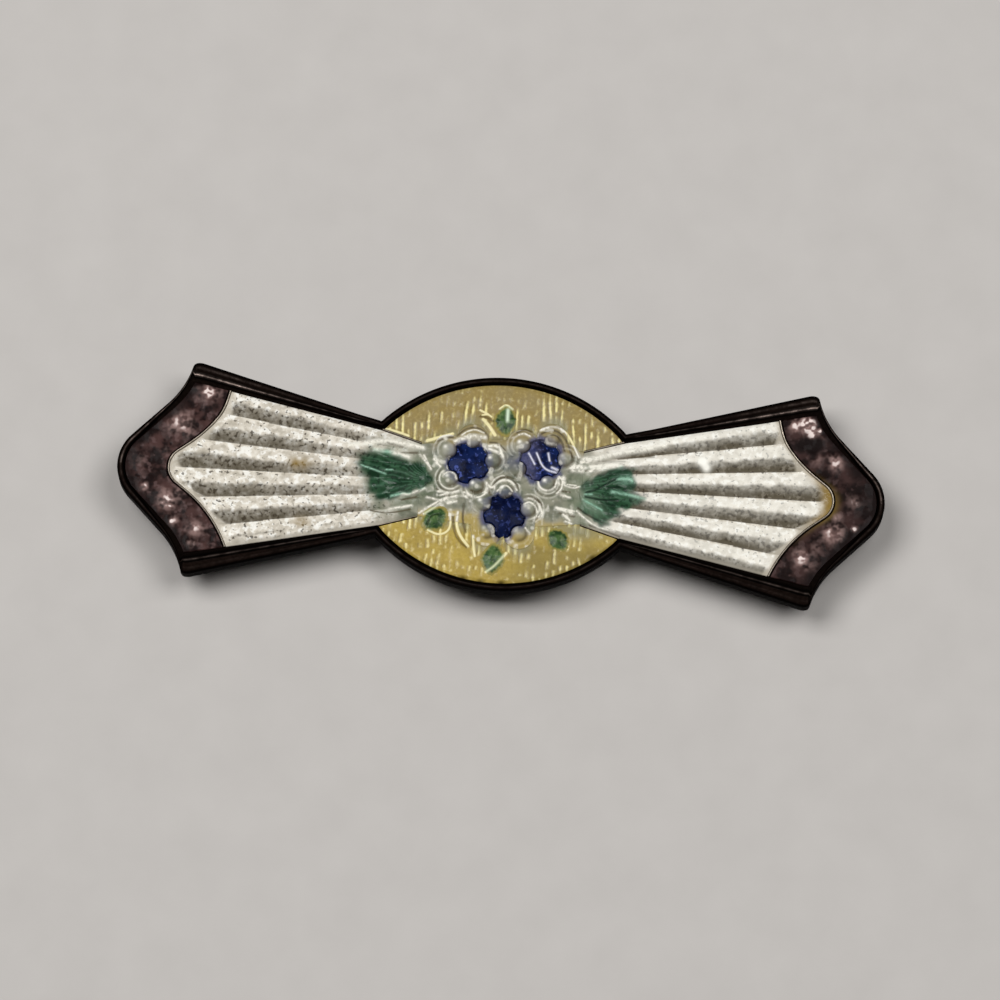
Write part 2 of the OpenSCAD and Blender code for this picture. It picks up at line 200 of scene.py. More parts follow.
def lay_mesh(name, points, faces, finish, marks, sharp=None):
    """Makes a piece of points in millimetres and of faces, each a list of point numbers. Marks
    are numbers kept at each point for the finish to read. Edges sharper than sharp stay so."""
    mesh = bpy.data.meshes.new(name)
    mesh.from_pydata((points * MM).tolist(), [], faces)
    mesh.shade_smooth()
    if sharp is not None:
        mesh.set_sharp_from_angle(angle=np.radians(sharp))
    for mark, values in marks.items():
        layer = mesh.attributes.new(mark, "FLOAT", "POINT")
        layer.data.foreach_set("value", np.asarray(values, dtype=np.float32).ravel())
    mesh.materials.append(finish)
    piece = bpy.data.objects.new(name, mesh)
    bpy.context.collection.objects.link(piece)
    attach(piece, "root")
    return piece


def grid_faces(rows, columns, closed_rows=False):
    """Quads of a grid of points whose numbers grow along each row. Closed rows join their last
    point to their first."""
    across = np.arange(columns if closed_rows else columns - 1)
    i, j = np.meshgrid(np.arange(rows - 1), across, indexing="ij")
    k = (j + 1) % columns
    a, b = i * columns, (i + 1) * columns
    return np.stack([a + j, a + k, b + k, b + j]).reshape(4, -1).T.tolist()


def math_node(operation, turned_round=False):
    """Operator of a wire: adds a Math node to its finish."""
    def apply(self, other):
        pair = (other, self) if turned_round else (self, other)
        return self.finish.node("ShaderNodeMath", {"operation": operation}, dict(enumerate(pair)))
    return apply


class Wire:
    """An output of a finish's nodes, for use in sums and products."""

    def __init__(self, finish, socket):
        self.finish, self.socket = finish, socket

    __add__ = __radd__ = math_node("ADD")
    __mul__ = __rmul__ = math_node("MULTIPLY")
    __sub__ = math_node("SUBTRACT")
    __rsub__ = math_node("SUBTRACT", turned_round=True)


class Finish:
    """A material in the making: a Principled shader with constants, and nodes added one by one."""

    def __init__(self, name, constants):
        self.material = bpy.data.materials.new(name)
        self.material.use_nodes = True
        self.tree = self.material.node_tree
        self.shader = self.tree.nodes["Principled BSDF"]
        for socket, value in constants.items():
            self.shader.inputs[socket].default_value = value

    def node(self, kind, settings, sockets, output=0):
        """Adds one node: its settings first, then the values or wires of its sockets."""
        made = self.tree.nodes.new(kind)
        for key, value in settings.items():
            setattr(made, key, value)
        for key, value in sockets.items():
            if isinstance(value, Wire):
                self.tree.links.new(value.socket, made.inputs[key])
            else:
                made.inputs[key].default_value = value
        return Wire(self, made.outputs[output])

    def mark(self, name):
        """The numbers that the mesh keeps at its points under this name."""
        return self.node("ShaderNodeAttribute", {"attribute_name": name}, {}, 2)

    def mottle(self, size, detail=2.0, stretch=(1, 1, 1), shift=(0, 0, 0)):
        """Cloudy noise from about 0.2 to 0.8 with patches size millimetres across. Its place is
        that of the object's own coordinates, stretched and then moved by shift."""
        spot = self.node("ShaderNodeTexCoord", {}, {}, 3)
        scale = [k / MM for k in stretch]
        sockets = {"Vector": spot, "Location": shift, "Scale": scale}
        place = self.node("ShaderNodeMapping", {}, sockets)
        sockets = {"Vector": place, "Scale": 1 / size, "Detail": detail}
        return self.node("ShaderNodeTexNoise", {}, sockets)

    def between(self, value, low, high, to_low=0.0, to_high=1.0):
        """Value eased from low..high to to_low..to_high, held at both ends."""
        sockets = {0: value, 1: low, 2: high, 3: to_low, 4: to_high}
        return self.node("ShaderNodeMapRange", {"interpolation_type": "SMOOTHSTEP"}, sockets)

    def layered(self, colour, *layers):
        """Colour with others laid over it in turn: each layer has an amount, from 0 to 1, and
        the colour that it goes towards."""
        settings = {"data_type": "RGBA", "clamp_factor": True}
        for amount, over in layers:
            colour = self.node("ShaderNodeMix", settings, {0: amount, 6: colour, 7: over}, 2)
        return colour

    def relief(self, height, depth, strength):
        """Bump of the given depth in millimetres."""
        sockets = {"Height": height, "Distance": depth * MM, "Strength": strength}
        return self.node("ShaderNodeBump", {}, sockets)

    def finish(self, **wires):
        """Links the wires to the shader's sockets and gives the material."""
        for socket, wire in wires.items():
            self.tree.links.new(wire.socket, self.shader.inputs[socket.replace("_", " ")])
        return self.material


silver = Finish("tarnished_silver", {
    "Metallic": 0.8, "Specular IOR Level": 0.1, "Specular Tint": (0.12, 0.09, 0.08, 1)
})
cloud = silver.mottle(0.9, 4.0)
fine = silver.mottle(0.16, 3.0, shift=(3, 1, 0))
patches = silver.mottle(0.5, 3.0, shift=(7, 2, 0))
# Rubbed silver: wear, and on the upper rims' crests a painted highlight.
rubbed_and_highlit = silver.mark("worn") * silver.between(patches, 0.36, 0.62, 0.25, 1.0)
tarnished_silver = silver.finish(
    Base_Color=silver.layered(
        TARNISH_BLACK,
        (silver.between(cloud, 0.35, 0.65, 0.35, 1.0) * silver.mark("ledge"), TARNISH_BROWN),
        (rubbed_and_highlit * 0.8, RUBBED_AND_HIGHLIT_SILVER),
        (silver.mark("pale"), LAPPED_ENAMEL),
    ),
    Roughness=silver.between(fine, 0.3, 0.7, 0.42, 0.6) - rubbed_and_highlit * 0.12,
    Normal=silver.relief(fine + cloud * 2, 0.018, 0.6),
)


def plate_walls():
    """Walls, rims and borders. The section runs from each point of the outline towards its
    partner on the recess, a share of the rim's width plus a share of what the border is wider."""
    outer, inner = whole_turn(0.0), whole_turn(RIM_WIDTH)
    count, half = len(outer), len(outer) // 2
    step = np.arange(count) % half
    step = np.minimum(step, half - step)
    border = ease(NOSE_STEPS - BORDER_STARTS, NOSE_STEPS, step)
    waist = NOSE_STEPS + EDGE_STEPS
    border *= 1 - ease(waist - BORDER_ENDS, waist, step)
    border = border[None, :, None]
    rows = RIM_ROWS[:, None] * (1 - border) + BORDER_ROWS[:, None] * border
    width = np.linalg.norm(inner - outer, axis=1)
    rim = np.minimum(width, RIM_WIDTH)
    share = ((rows[..., 0] * rim + rows[..., 1] * (width - rim)) / width)[..., None]
    flat = outer * (1 - share) + inner * share
    x, y = flat[..., 0], flat[..., 1]
    wobble = grain(x, y, 0.7, 11) + 0.5 * grain(x, y, 0.25, 12)
    z = RIM_TOP + rows[..., 2] + 0.008 * wobble * ease(-0.4, -0.2, rows[..., 2])
    points = np.concatenate([flat, z[..., None]], -1).reshape(-1, 3)
    # Wear along all rims, and a painted highlight along the upper rims towards the ends.
    rubbing_and_highlight = 0.15 + 0.85 * ease(11, 17, np.abs(outer[:, 0])) * (outer[:, 1] > 0)
    marks = {"worn": (rows[..., 3] * rubbing_and_highlight).ravel(), "ledge": rows[..., 4].ravel()}
    return points, grid_faces(len(rows), count, closed_rows=True), marks, count


def close_ring(points, faces, start, count, heights, up):
    """Closes a ring of the plate, which is even about the X axis, with a sheet of columns: each
    runs from an upper point to the lower one under it, at heights given by x and y."""
    half = count // 2
    upper = start + np.arange(half + 1)
    lower = start + (count - np.arange(half + 1)) % count
    share = np.linspace(0, 1, SHEET_ROWS + 1)[1:-1, None, None]
    middle = points[upper[1:-1]] * (1 - share) + points[lower[1:-1]] * share
    middle[..., 2] = heights(middle[..., 0], middle[..., 1])
    number = np.empty((SHEET_ROWS + 1, half + 1), dtype=int)
    number[:, 0], number[:, -1] = upper[0], upper[-1]
    number[0], number[-1] = upper, lower
    number[1:-1, 1:-1] = len(points) + np.arange(middle[..., 0].size).reshape(middle.shape[:2])
    a, b, c, d = number[:-1, :-1], number[1:, :-1], number[1:, 1:], number[:-1, 1:]
    quads = np.stack([a, b, c, d] if up else [d, c, b, a], -1).reshape(-1, 4)
    made = [list(dict.fromkeys(quad)) for quad in quads.tolist()]
    return np.concatenate([points, middle.reshape(-1, 3)]), faces + made


def back_height(x, y):
    """The back follows the front's strike faintly: shallow hollows behind the flutes."""
    far, wide = np.abs(x), np.abs(y)
    swell = ease(7.6, 9.0, far) * (1 - ease(17.5, 18.5, far))
    inside = 1 - ease(field_y(far) - 0.8, field_y(far) - 0.2, wide)
    clear = ease(2.2, 3.0, np.abs(far - FITTING_X)) + ease(2.0, 2.4, wide)
    hollow = 0.5 - 0.5 * np.cos(2 * np.pi * y / (far + FAN_X) / REED_SLOPE)
    return PLATE_BACK + BACK_HOLLOW * hollow * swell * inside * np.clip(clear, 0, 1)


points, faces, marks, count = plate_walls()
floor_ring, walled = len(points) - count, len(points)
points, faces = close_ring(points, faces, 0, count, back_height, up=False)
points, faces = close_ring(
    points, faces, floor_ring, count, lambda x, y: RIM_TOP - FLOOR_DROP, up=True
)
for mark, level in FLAT_MARKS.items():
    marks[mark] = np.concatenate([marks[mark], np.full(len(points) - walled, level)])
plate = lay_mesh("plate_silver", points, faces, tarnished_silver, marks, sharp=50)
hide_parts("plate")


# Seams: thin raised silver lines left standing between two enamels, pale on the side that the
# white enamel laps over and black on the other.
SEAM_OGEE = (19.3, 1.2, np.radians(53), 0.8, 7.5)
SEAM_HALF, NECK_HALF = 0.09, 0.04
SEAM_DROP, NECK_OUT = 0.03, 0.045
SEAM_FLARE, FLARE_FROM, FLARE_TO = 0.32, 3.0, 5.2
SPRAY_X, NECK_REACH = 4.7, 7.0
SEAM_POINTS, NECK_POINTS = 140, 40
# Rows of the section: place across it, height below the rims, and wear.
SEAM_ROWS = np.array([
    [-1.0, -0.45, 0.0], [-1.0, -0.07, 0.5], [-0.85, -0.03, 0.9], [-0.5, 0.0, 1.0],
    [-0.1, 0.0, 0.9], [0.15, -0.04, 0.3], [0.4, -0.1, 0.0], [0.8, -0.11, 0.0],
    [1.0, -0.12, 0.0], [1.0, -0.45, 0.0],
])


def seam_x(y, inset=0.0):
    """Distance along the bar of a divider at height y: its ogee, which flares out near the top."""
    return ogee_x(y, SEAM_OGEE, inset) + SEAM_FLARE * ease(FLARE_FROM, FLARE_TO, y)


def seam(name, path, half, side):
    """Bar along a path of points: the section's first column runs across it, from minus half to
    plus half its width, and the second gives heights below the rims. Side turns it round."""
    along = np.gradient(path, axis=0)
    along /= np.linalg.norm(along, axis=1)[:, None]
    across = np.stack([-along[:, 1], along[:, 0]], 1) * side
    flat = path[:, None] + across[:, None] * (SEAM_ROWS[:, 0] * half)[None, :, None]
    z = np.broadcast_to(RIM_TOP - SEAM_DROP + SEAM_ROWS[:, 1], flat.shape[:2])
    points = np.concatenate([flat, z[..., None]], -1).reshape(-1, 3)
    count, depth = len(path), len(SEAM_ROWS)
    faces = grid_faces(count, depth, closed_rows=True)
    faces += [list(range(depth))[::-1], list(range((count - 1) * depth, count * depth))]
    if side > 0:
        faces = [face[::-1] for face in faces]
    worn = np.tile(SEAM_ROWS[:, 2], count)
    rub = 0.75 + 0.25 * grain(points[:, 0], points[:, 1], 0.5, 15)
    marks = {"worn": worn, "pale": worn * rub, "ledge": np.full(len(points), 0.3)}
    piece = lay_mesh(name, points, faces, tarnished_silver, marks, sharp=60)
    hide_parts("plate")


upper_end = crossing(lambda y: field_y(seam_x(y)), 4.9) - 0.02
lower_end = crossing(lambda y: -field_y(seam_x(y)), -4.9) + 0.02
divider = np.linspace(lower_end, upper_end, SEAM_POINTS)
neck = np.linspace(SPRAY_X + 0.02, NECK_REACH, NECK_POINTS)
for side, word in ((1, "right"), (-1, "left")):
    seam(f"divider_{word}", np.stack([side * seam_x(divider), divider], 1), SEAM_HALF, -side)
    for up, spot in ((1, "upper"), (-1, "lower")):
        path = np.stack([side * neck, up * (field_y(neck) + NECK_OUT)], 1)
        seam(f"neck_seam_{spot}_{word}", path, NECK_HALF, side * up)


# Wings: fluted silver under clear white enamel, six reeds to a side that fan out from behind the
# spray. The grained silver's sparkle is painted as bright specks, plainest on the reeds' upper
# flanks, and each lower flank is painted grey, with dark specks, as shade; on the right wing the
# upper flanks carry a painted highlight. A smooth cream margin runs along the divider. A few
# spots are stained.
GAP = 0.03
REED_HALF, REED_END = 0.15, 25.0
FIELD_TOP, ENAMEL_FLOOR = 3.78, 3.42
WING_ROWS, WING_COLUMNS = 180, 280
LEAF_PATCHES = [
    [(-8.14, 0.86), (-8.1, 1.16), (-7.37, 1.49), (-6.67, 1.47), (-6.13, 1.14), (-5.48, 0.94),
     (-4.78, 0.85), (-4.12, 0.47), (-4.1, 0.06), (-4.37, -0.26), (-5.15, -0.71), (-5.73, -0.8),
     (-6.17, -1.06), (-6.74, -1.33), (-7.09, -1.29), (-7.12, -0.82), (-7.58, -0.72),
     (-7.75, 0.16)],
    [(4.66, -0.38), (4.69, 0.16), (5.25, 0.61), (5.76, 0.93), (6.44, 1.14), (6.84, 1.34),
     (7.18, 1.36), (7.66, 1.03), (7.73, 0.85), (7.8, 0.5), (7.59, 0.07), (8.34, -0.42),
     (7.52, -0.94), (7.01, -1.2), (6.73, -1.51), (6.29, -1.95), (5.83, -1.97), (5.12, -1.54),
     (4.64, -1.09)],
]
# Round or oval spots, each a middle, a reach along X and along Y, and a strength. The bleached
# streak lies across the leaf, so that its row is in x minus y and x plus y.
RUST = [(-11.7, 0.6, 0.561, 0.33, 0.5)]
LOW_RUST = [(-11.4, -2.9, 0.48, 0.3, 0.35)]
NOSE_STAIN = [(19.0, -0.1, 1.1, 1.65, 0.9)]
CHIPS = [(11.6, 1.95, 0.26, 0.26, 1), (11.85, 1.62, 0.24, 0.24, 1)]
PALE_TIP = [(4.6, -0.75, 0.4, 0.6, 0.6)]
# A light patch: a painted highlight.
GLINT = [(7.3, 0.69, 0.5, 0.28, 0.6)]
BLEACHED = [(6.1, 4.3, 1.5, 0.7, 0.75)]
# Engraved lines: stems, leaf veins, flower outlines and arcs cut in the die, by their width and
# each a row of points. Raised ones are painted pale as highlights and cut ones dark as shade.
RAISED_LINES = {
    0.05: [
        [(3.85, 0.17), (4.38, 0.14)], [(-2.45, 2.74), (-2.06, 3.04), (-1.6, 3.15), (-1.15, 2.97)],
        [(-1.3, 4.03), (-0.96, 4.1), (-0.76, 3.96)], [(0.9, 2.98), (1.19, 3.09), (1.54, 2.92)],
        [(3.34, 0.62), (3.59, 0.4), (3.55, -0.08), (3.27, -0.39)],
        [(-0.49, -0.29), (-0.16, 0.08), (0.29, 0.24), (0.7, 0.07), (0.96, -0.33)],
        [(-0.19, -0.45), (0.08, -0.14), (0.42, -0.11), (0.69, -0.41)],
        [(1.4, -1.14), (1.74, -0.95), (2.1, -1.22), (2.24, -1.69), (2.03, -2.06)],
        [(1.57, -2.53), (1.86, -2.89)], [(-8.13, 0.68), (-7.42, 0.42), (-6.71, 0.22)],
        [(-6.67, 0.46), (-6.32, 0.47)],
    ],
    0.06: [
        [(-4.53, 1.46), (-4.07, 0.65)], [(3.54, 0.6), (3.64, 0.28)],
        [(4.48, -1.37), (5.55, -2.23), (6.31, -2.4)], [(-1.43, 4.32), (-0.96, 4.1)],
        [(-3.47, -0.86), (-2.44, -0.57)], [(-0.8, 0.01), (-0.71, -0.48), (-0.88, -0.61)],
        [(3.31, 0.47), (3.39, 0.11)], [(3.6, 0.67), (3.61, 0.36)],
        [(-0.28, 4.48), (0.06, 4.76), (0.44, 4.48)],
        [(2.11, 3.31), (2.67, 3.57), (3.26, 3.51), (3.74, 3.15), (4.12, 2.45), (4.44, 1.81)],
        [(2.14, 0.26), (2.28, -0.15), (2.75, -0.32), (3.14, -0.1), (3.25, 0.38)],
        [(-3.31, 0.37), (-3.03, 0.59), (-2.67, 0.43), (-2.57, 0.14)],
        [(-2.09, -0.61), (-1.62, -0.9), (-1.15, -0.87), (-0.77, -0.54)],
        [(-0.73, -0.07), (-0.58, -0.3), (-0.33, -0.1)],
        [(2.3, -1.09), (2.49, -1.56), (2.3, -1.83)],
        [(-4.04, -2.97), (-3.45, -3.23), (-2.91, -3.02), (-2.74, -2.54), (-2.83, -1.96)],
        [(3.54, 0.16), (4.12, 0), (4.58, 0.09)], [(-4.76, 1.49), (-4.16, 0.8)],
        [(4.89, -0.36), (5.29, -0.34)],
    ],
    0.07: [
        [(-3.94, 1.26), (-3.56, 0.86)], [(-4.62, -1.99), (-4.12, -1.61), (-3.23, -1.03)],
        [(-4.21, -1.02), (-3.45, -1.16)], [(3.87, -2.02), (4.2, -2.12)],
        [(6.83, -2.34), (7.18, -2.44)], [(-1.43, -3.18), (-1.33, -4), (-1.26, -4.35)],
        [(-4.35, -2.03), (-3.66, -1.55), (-3.2, -1.03), (-2.54, -0.87)],
        [(4.79, -0.67), (5.32, -0.94), (5.91, -1.24)], [(6.75, 0.62), (7.44, 0.78), (7.62, 0.55)],
    ],
    0.08: [
        [(-6.26, -1.07), (-5.61, -0.86), (-5.31, -0.96), (-4.36, -0.49)],
        [(-6.36, -1.84), (-5.1, -1.57)], [(3.54, -0.44), (4.03, -0.59)],
        [(3.34, -1.22), (4.3, -1.4)], [(-2.98, -1.31), (-2.53, -1.17)],
        [(-2.37, -1.81), (-2.45, -2.53), (-2.18, -3.22), (-1.69, -3.79)],
        [(-0.57, -5.26), (-0.13, -4.94), (0.3, -4.41), (0.54, -4.08)],
        [(3.71, -1.61), (4.12, -1.95)], [(-3.6, -0.63), (-2.9, -0.71), (-2.44, -0.57)],
    ],
    0.09: [
        [(-4.4, 2.33), (-3.65, 2.58), (-2.95, 2.82)],
        [(-1.23, 3.79), (-0.86, 3.42), (-0.49, 2.89)],
        [(-1.02, 2.06), (-0.67, 2.02), (-0.14, 1.81)],
        [(-5.52, 2.55), (-6.35, 2.8), (-7.05, 2.92)],
    ],
    0.1: [
        [(6.44, -0.11), (7.37, -0.23), (8.54, -0.47)],
        [(-0.76, 2.22), (-0.39, 2.27), (-0.13, 2.06), (0.03, 1.64)],
    ],
    0.12: [
        [(5, 0.95), (5.4, 1.21), (5.97, 1.27), (6.89, 1.47)], [(3.31, -1.25), (4.19, -1.49)],
    ],
    0.13: [
        [(4.75, 1.74), (5.7, 1.86)], [(-7.38, 1.67), (-6.15, 1.5), (-5.44, 1.3)],
        [(4.13, 1.08), (4.7, 1.23)], [(-2.72, 2.39), (-2.27, 2.62), (-1.7, 2.75), (-1.06, 2.71)],
    ],
    0.14: [
        [(4.63, 1.55), (5.66, 1.82)],
    ],
    0.15: [
        [(-8.84, 1.83), (-6.84, 2.22), (-5.37, 2.02), (-4.61, 1.9)],
        [(5.71, 1.9), (7.03, 2.27), (8.29, 2.49), (9.38, 2.79)],
    ],
    0.16: [
        [(4.07, 1.16), (4.65, 1.07)],
    ],
    0.17: [
        [(4.25, 1.24), (4.8, 1.27)], [(5.15, 1.3), (6, 1.42), (6.7, 1.52)],
    ],
}
CUT_LINES = {
    0.05: [
        [(4.1, 1.05), (4.7, 1.02)], [(4.85, 1.05), (5.4, 1.1)], [(4.6, 1.55), (5.6, 1.66)],
        [(-4.58, 1.31), (-4.08, 0.8)],
        [(-7.45, -1.96), (-6.58, -2.09), (-5.95, -2), (-5.15, -1.78)],
        [(-5.7, -1.28), (-4.79, -1.02)], [(4.1, 0.04), (4.52, 0.03)],
        [(3.58, -0.23), (4.02, -0.26)],
        [(-2.68, 2.74), (-2.19, 3.19), (-1.61, 3.3), (-1.14, 3.11), (-0.86, 2.77)],
        [(2.47, 2.94), (2.99, 3.1), (3.39, 2.77), (3.59, 2.16)],
        [(-0.75, 2.44), (-0.29, 2.44), (0.14, 2.03)],
        [(-0.63, 0.18), (-0.18, 0.38), (0.39, 0.47), (0.87, 0.26)],
        [(1.5, -0.78), (2.08, -0.77), (2.46, -1.09)],
        [(4.52, -1.16), (5.24, -1.65), (5.94, -1.91)],
        [(5.26, -2.18), (6.2, -2.49), (7.02, -2.74)],
        [(-3.66, -0.46), (-3.47, -0.8), (-2.89, -0.89)], [(3.08, 0.07), (3.45, -0.44)],
    ],
    0.06: [
        [(5.2, 1.6), (6.1, 1.72), (7.1, 1.74)], [(-6.71, 2.07), (-5.77, 1.88)],
        [(-5.87, 1.54), (-4.94, 1.59)], [(5.13, 1.43), (5.84, 1.57), (6.42, 1.68), (7.06, 1.55)],
        [(6.7, 1.87), (7.85, 2.05), (8.8, 2.1)], [(-1.41, 3.96), (-1.01, 3.92), (-0.64, 3.7)],
        [(0.78, 3.12), (1.18, 3.33), (1.6, 3.21)],
        [(2.21, 3.11), (2.68, 3.38), (3.21, 3.29), (3.7, 2.79), (3.9, 2.2), (4.06, 1.83)],
        [(-2.65, -2.06), (-2.54, -3), (-2.16, -3.58), (-1.78, -3.86)],
        [(-4.12, -2.67), (-3.97, -2.13), (-3.52, -1.99)],
        [(-2.06, -1.32), (-2.1, -2.27), (-1.85, -2.97)],
        [(4.97, -0.24), (5.74, 0.04), (6.75, 0.77)], [(4.94, -0.5), (5.85, -0.65), (6.81, -0.6)],
    ],
    0.07: [
        [(-3.75, 2.4), (-2.94, 2.66)], [(-1.7, -0.5), (-1.38, -0.62), (-1.11, -0.47)],
        [(6.2, 0.12), (6.89, 0.16)],
    ],
    0.08: [
        [(3.5, -1.51), (4.32, -1.67)],
    ],
    0.09: [
        [(-0.71, -0.44), (-0.54, -0.65)],
    ],
}


def seen(red, green, blue):
    """Linear colour of a tone given as it looks on a screen, 0 to 255."""
    c = np.array([red, green, blue]) / 255
    linear = np.where(c <= 0.04045, c / 12.92, ((c + 0.055) / 1.055) ** 2.4)
    return (*linear.tolist(), 1)


def spots(x, y, rows):
    """Largest of the soft spots of a table: each is a bell in x and y, counted in its reaches."""
    return np.max([
        k * bell(np.hypot((x - cx) / rx, (y - cy) / ry), 1) for cx, cy, rx, ry, k in rows
    ], axis=0)


def stretch_distance(x, y, start, end):
    """Distance to the nearest point of a straight stretch."""
    (ax, ay), dx, dy = start, end[0] - start[0], end[1] - start[1]
    t = np.clip(((x - ax) * dx + (y - ay) * dy) / (dx * dx + dy * dy), 0, 1)
    return np.hypot(x - ax - t * dx, y - ay - t * dy)


def line_mark(x, y, lines):
    """Largest of the rounded lines drawn through each row of points, from 0 to 1. Corners are
    cut twice, at a quarter and three quarters of each stretch."""
    total = np.zeros_like(x)
    for width, row in [(width, np.array(row)) for width, rows in lines.items() for row in rows]:
        for _ in range(2 if len(row) > 2 else 0):
            a, b = row[:-1], row[1:]
            cuts = np.stack([0.75 * a + 0.25 * b, 0.25 * a + 0.75 * b], 1)
            row = np.concatenate([row[:1], cuts.reshape(-1, 2), row[-1:]])
        low, high = row.min(0) - 3 * width, row.max(0) + 3 * width
        near = (x > low[0]) & (x < high[0]) & (y > low[1]) & (y < high[1])
        px, py, best = x[near], y[near], total[near]
        for start, end in zip(row[:-1], row[1:]):
            best = np.maximum(best, bell(stretch_distance(px, py, start, end), width))
        total[near] = best
    return total


def patch_depth(x, y, corners):
    """How deep a point lies in a patch: the distance to the nearest stretch of its edge, counted
    as negative outside, where a ray crosses the edge an even number of times."""
    away = np.full_like(x, 9.0)
    inside = np.zeros(x.shape, dtype=bool)
    for start, end in zip(corners, corners[1:] + corners[:1]):
        (ax, ay), (bx, by) = start, end
        away = np.minimum(away, stretch_distance(x, y, start, end))
        if ay != by:
            inside ^= ((ay > y) != (by > y)) & (x < ax + (y - ay) * (bx - ax) / (by - ay))
    return np.where(inside, away, -away)


def flute_marks(x, y, end):
    """How much painted shade a point of the flutes gets: each lower flank is painted darker
    towards its groove, less near the spray and at the divider, and the brink of that shade is a
    bell just above the groove. Also gives how far from the middle of its reed a point is."""
    far, right = np.abs(x), x > 0
    s = y / (far + FAN_X) / REED_SLOPE
    r = s - 0.5 - np.round(s - 0.5)
    grown = ease(4.6, 7.6, far)
    uneven = 0.05 * grain(x, y, 0.7, 24) + 0.04 * grain(x, y, 0.3, 25)
    reach = ease(-0.05, 0.55, end + 0.35 * grain(x, y, 0.5, 27) + 0.4 * right)
    reach = reach * (0.3 + 0.7 * grown) * (0.88 + 0.12 * grain(x, y, 1.1, 28))
    reach = reach * np.where(right, 1.08, 0.68 + 0.27 * ease(-9.0, -13.5, x))
    steep = np.where(right, 0.74 + 0.26 * ease(-0.1, -0.42, r), 0.82 + 0.18 * ease(-0.12, -0.4, r))
    flank = ease(0.09, -0.11, r + uneven) * steep * reach
    flank = flank * np.where(right, 1, 1 - 0.85 * ease(-2.5, -2.62, s))
    return r, grown, flank, bell(r + 0.22 + uneven, 0.16) * reach


def leaf_marks(x, y):
    """How green a point is: deep in a leaf's patch fully, and fading past its ragged edge, more
    widely at the left leaf's tip. The halo is a fainter green that has bled farther out."""
    far, left = np.abs(x), x < 0
    blur = 0.3 + 0.4 * ease(-5.5, -7.6, x)
    depth = np.maximum(*[patch_depth(x, y, corners) for corners in LEAF_PATCHES])
    green = ease(-1.4 * blur, blur, depth + 0.17 * grain(x, y, 0.35, 36))
    halo = 0.6 * ease(-1.6, 0.2, depth) * (0.7 + 0.5 * grain(x, y, 0.5, 29))
    return green * (1 - spots(x, y, PALE_TIP)), halo * ease(7.0, 5.2, far - 1.6 * left)


def field_marks(x, y):
    """Height and marks of the white field: each reed is a cosine hump, sharpened where two meet,
    that grows with the distance from the fan's point and fades to the margin and the spray."""
    far, right = np.abs(x), x > 0
    end = seam_x(y, SEAM_HALF) - far
    edge = field_y(far) - np.abs(y)
    r, grown, flank, shade_brink = flute_marks(x, y, end)
    green, halo = leaf_marks(x, y)
    raised, cut = line_mark(x, y, RAISED_LINES), line_mark(x, y, CUT_LINES)
    hump = 0.6 * np.abs(np.cos(np.pi * r)) + 0.4 * np.cos(np.pi * r) ** 2
    wave = REED_HALF * (far + FAN_X) / REED_END * (2 * hump - 1)
    z = FIELD_TOP + wave * ease(0.1, 0.9, end) * (0.25 + 0.75 * grown) * ease(3.8, 4.7, far)
    z = z + 0.05 * raised - 0.04 * cut
    z = z + 0.010 * grain(x, y, 0.4, 21) + 0.007 * grain(x, y, 0.17, 22)
    body = ease(0.03, 0.3, end - 1.2 * (r - 0.15) ** 2)
    margin = np.maximum(1 - body, 0.5 * (1 - grown))
    margin = np.maximum(margin, 0.7 * ease(0.3, 0.1, edge) * (y < 0))
    turn = np.degrees(np.arctan2(y - 0.05, far - 4.0))
    streak = (0.5 + 0.5 * np.cos(0.8 * turn + 5 * grain(x, y, 0.8, 26))) ** 3
    stain = spots(x, y, RUST) * (1 + 0.6 * grain(x, y, 0.3, 32)) + spots(x, y, LOW_RUST)
    stain += bell(end - 0.1, 0.45) * spots(x, y, NOSE_STAIN)
    thin = np.where(right, 0.4, -1.1) * ease(-0.6, -1.6, y)
    smoke = 0.84 + 0.1 * grain(x, y, 0.7, 64) + 0.1 * grain(x, y, 0.3, 65)
    smoke = smoke * ease(6.3, 4.3, far + 0.5 * grain(x, y, 0.6, 30) + thin)
    # Painted highlight on the right wing's unshaded upper flanks; the chips added to it are real
    # white chips.
    highlight_and_chips = 0.45 * right * grown * (1 - flank) * body * (1 - green) * ease(0.5, 0.4, r)
    for chip in CHIPS:
        highlight_and_chips = highlight_and_chips + spots(x, y, [chip])
    marks = {
        "smoke": smoke, "halo": np.clip(halo, 0, 1), "flank": flank, "shade_brink": shade_brink,
        "margin": margin, "raised": np.clip(raised + spots(x, y, GLINT), 0, 1), "cut": cut,
        "bleached": spots(x - y, x + y, BLEACHED), "green": green, "streak": streak * green,
        "stain": np.clip(stain, 0, 1), "highlight_and_chips": np.clip(highlight_and_chips, 0, 1),
    }
    return z, marks


def slab(name, x, y, z, finish, marks):
    """Closed piece: a grid of heights that runs right along its rows and up its columns, walls
    that drop from its edge to the enamel's floor, and one flat face that closes them."""
    rows, columns = z.shape
    top = np.stack([x, y, z], -1).reshape(-1, 3)
    number = np.arange(rows * columns).reshape(rows, columns)
    ring = np.concatenate([
        number[0], number[1:, -1], number[-1, -2::-1], number[-2:0:-1, 0]
    ])
    low = top[ring].copy()
    low[:, 2] = ENAMEL_FLOOR
    base = len(top) + np.arange(len(ring))
    walls = np.stack([ring, base, np.roll(base, -1), np.roll(ring, -1)], -1)
    faces = grid_faces(rows, columns) + walls.tolist() + [base[::-1].tolist()]
    kept = {key: np.concatenate([m.ravel(), m.ravel()[ring]]) for key, m in marks.items()}
    return lay_mesh(name, np.concatenate([top, low]), faces, finish, kept)


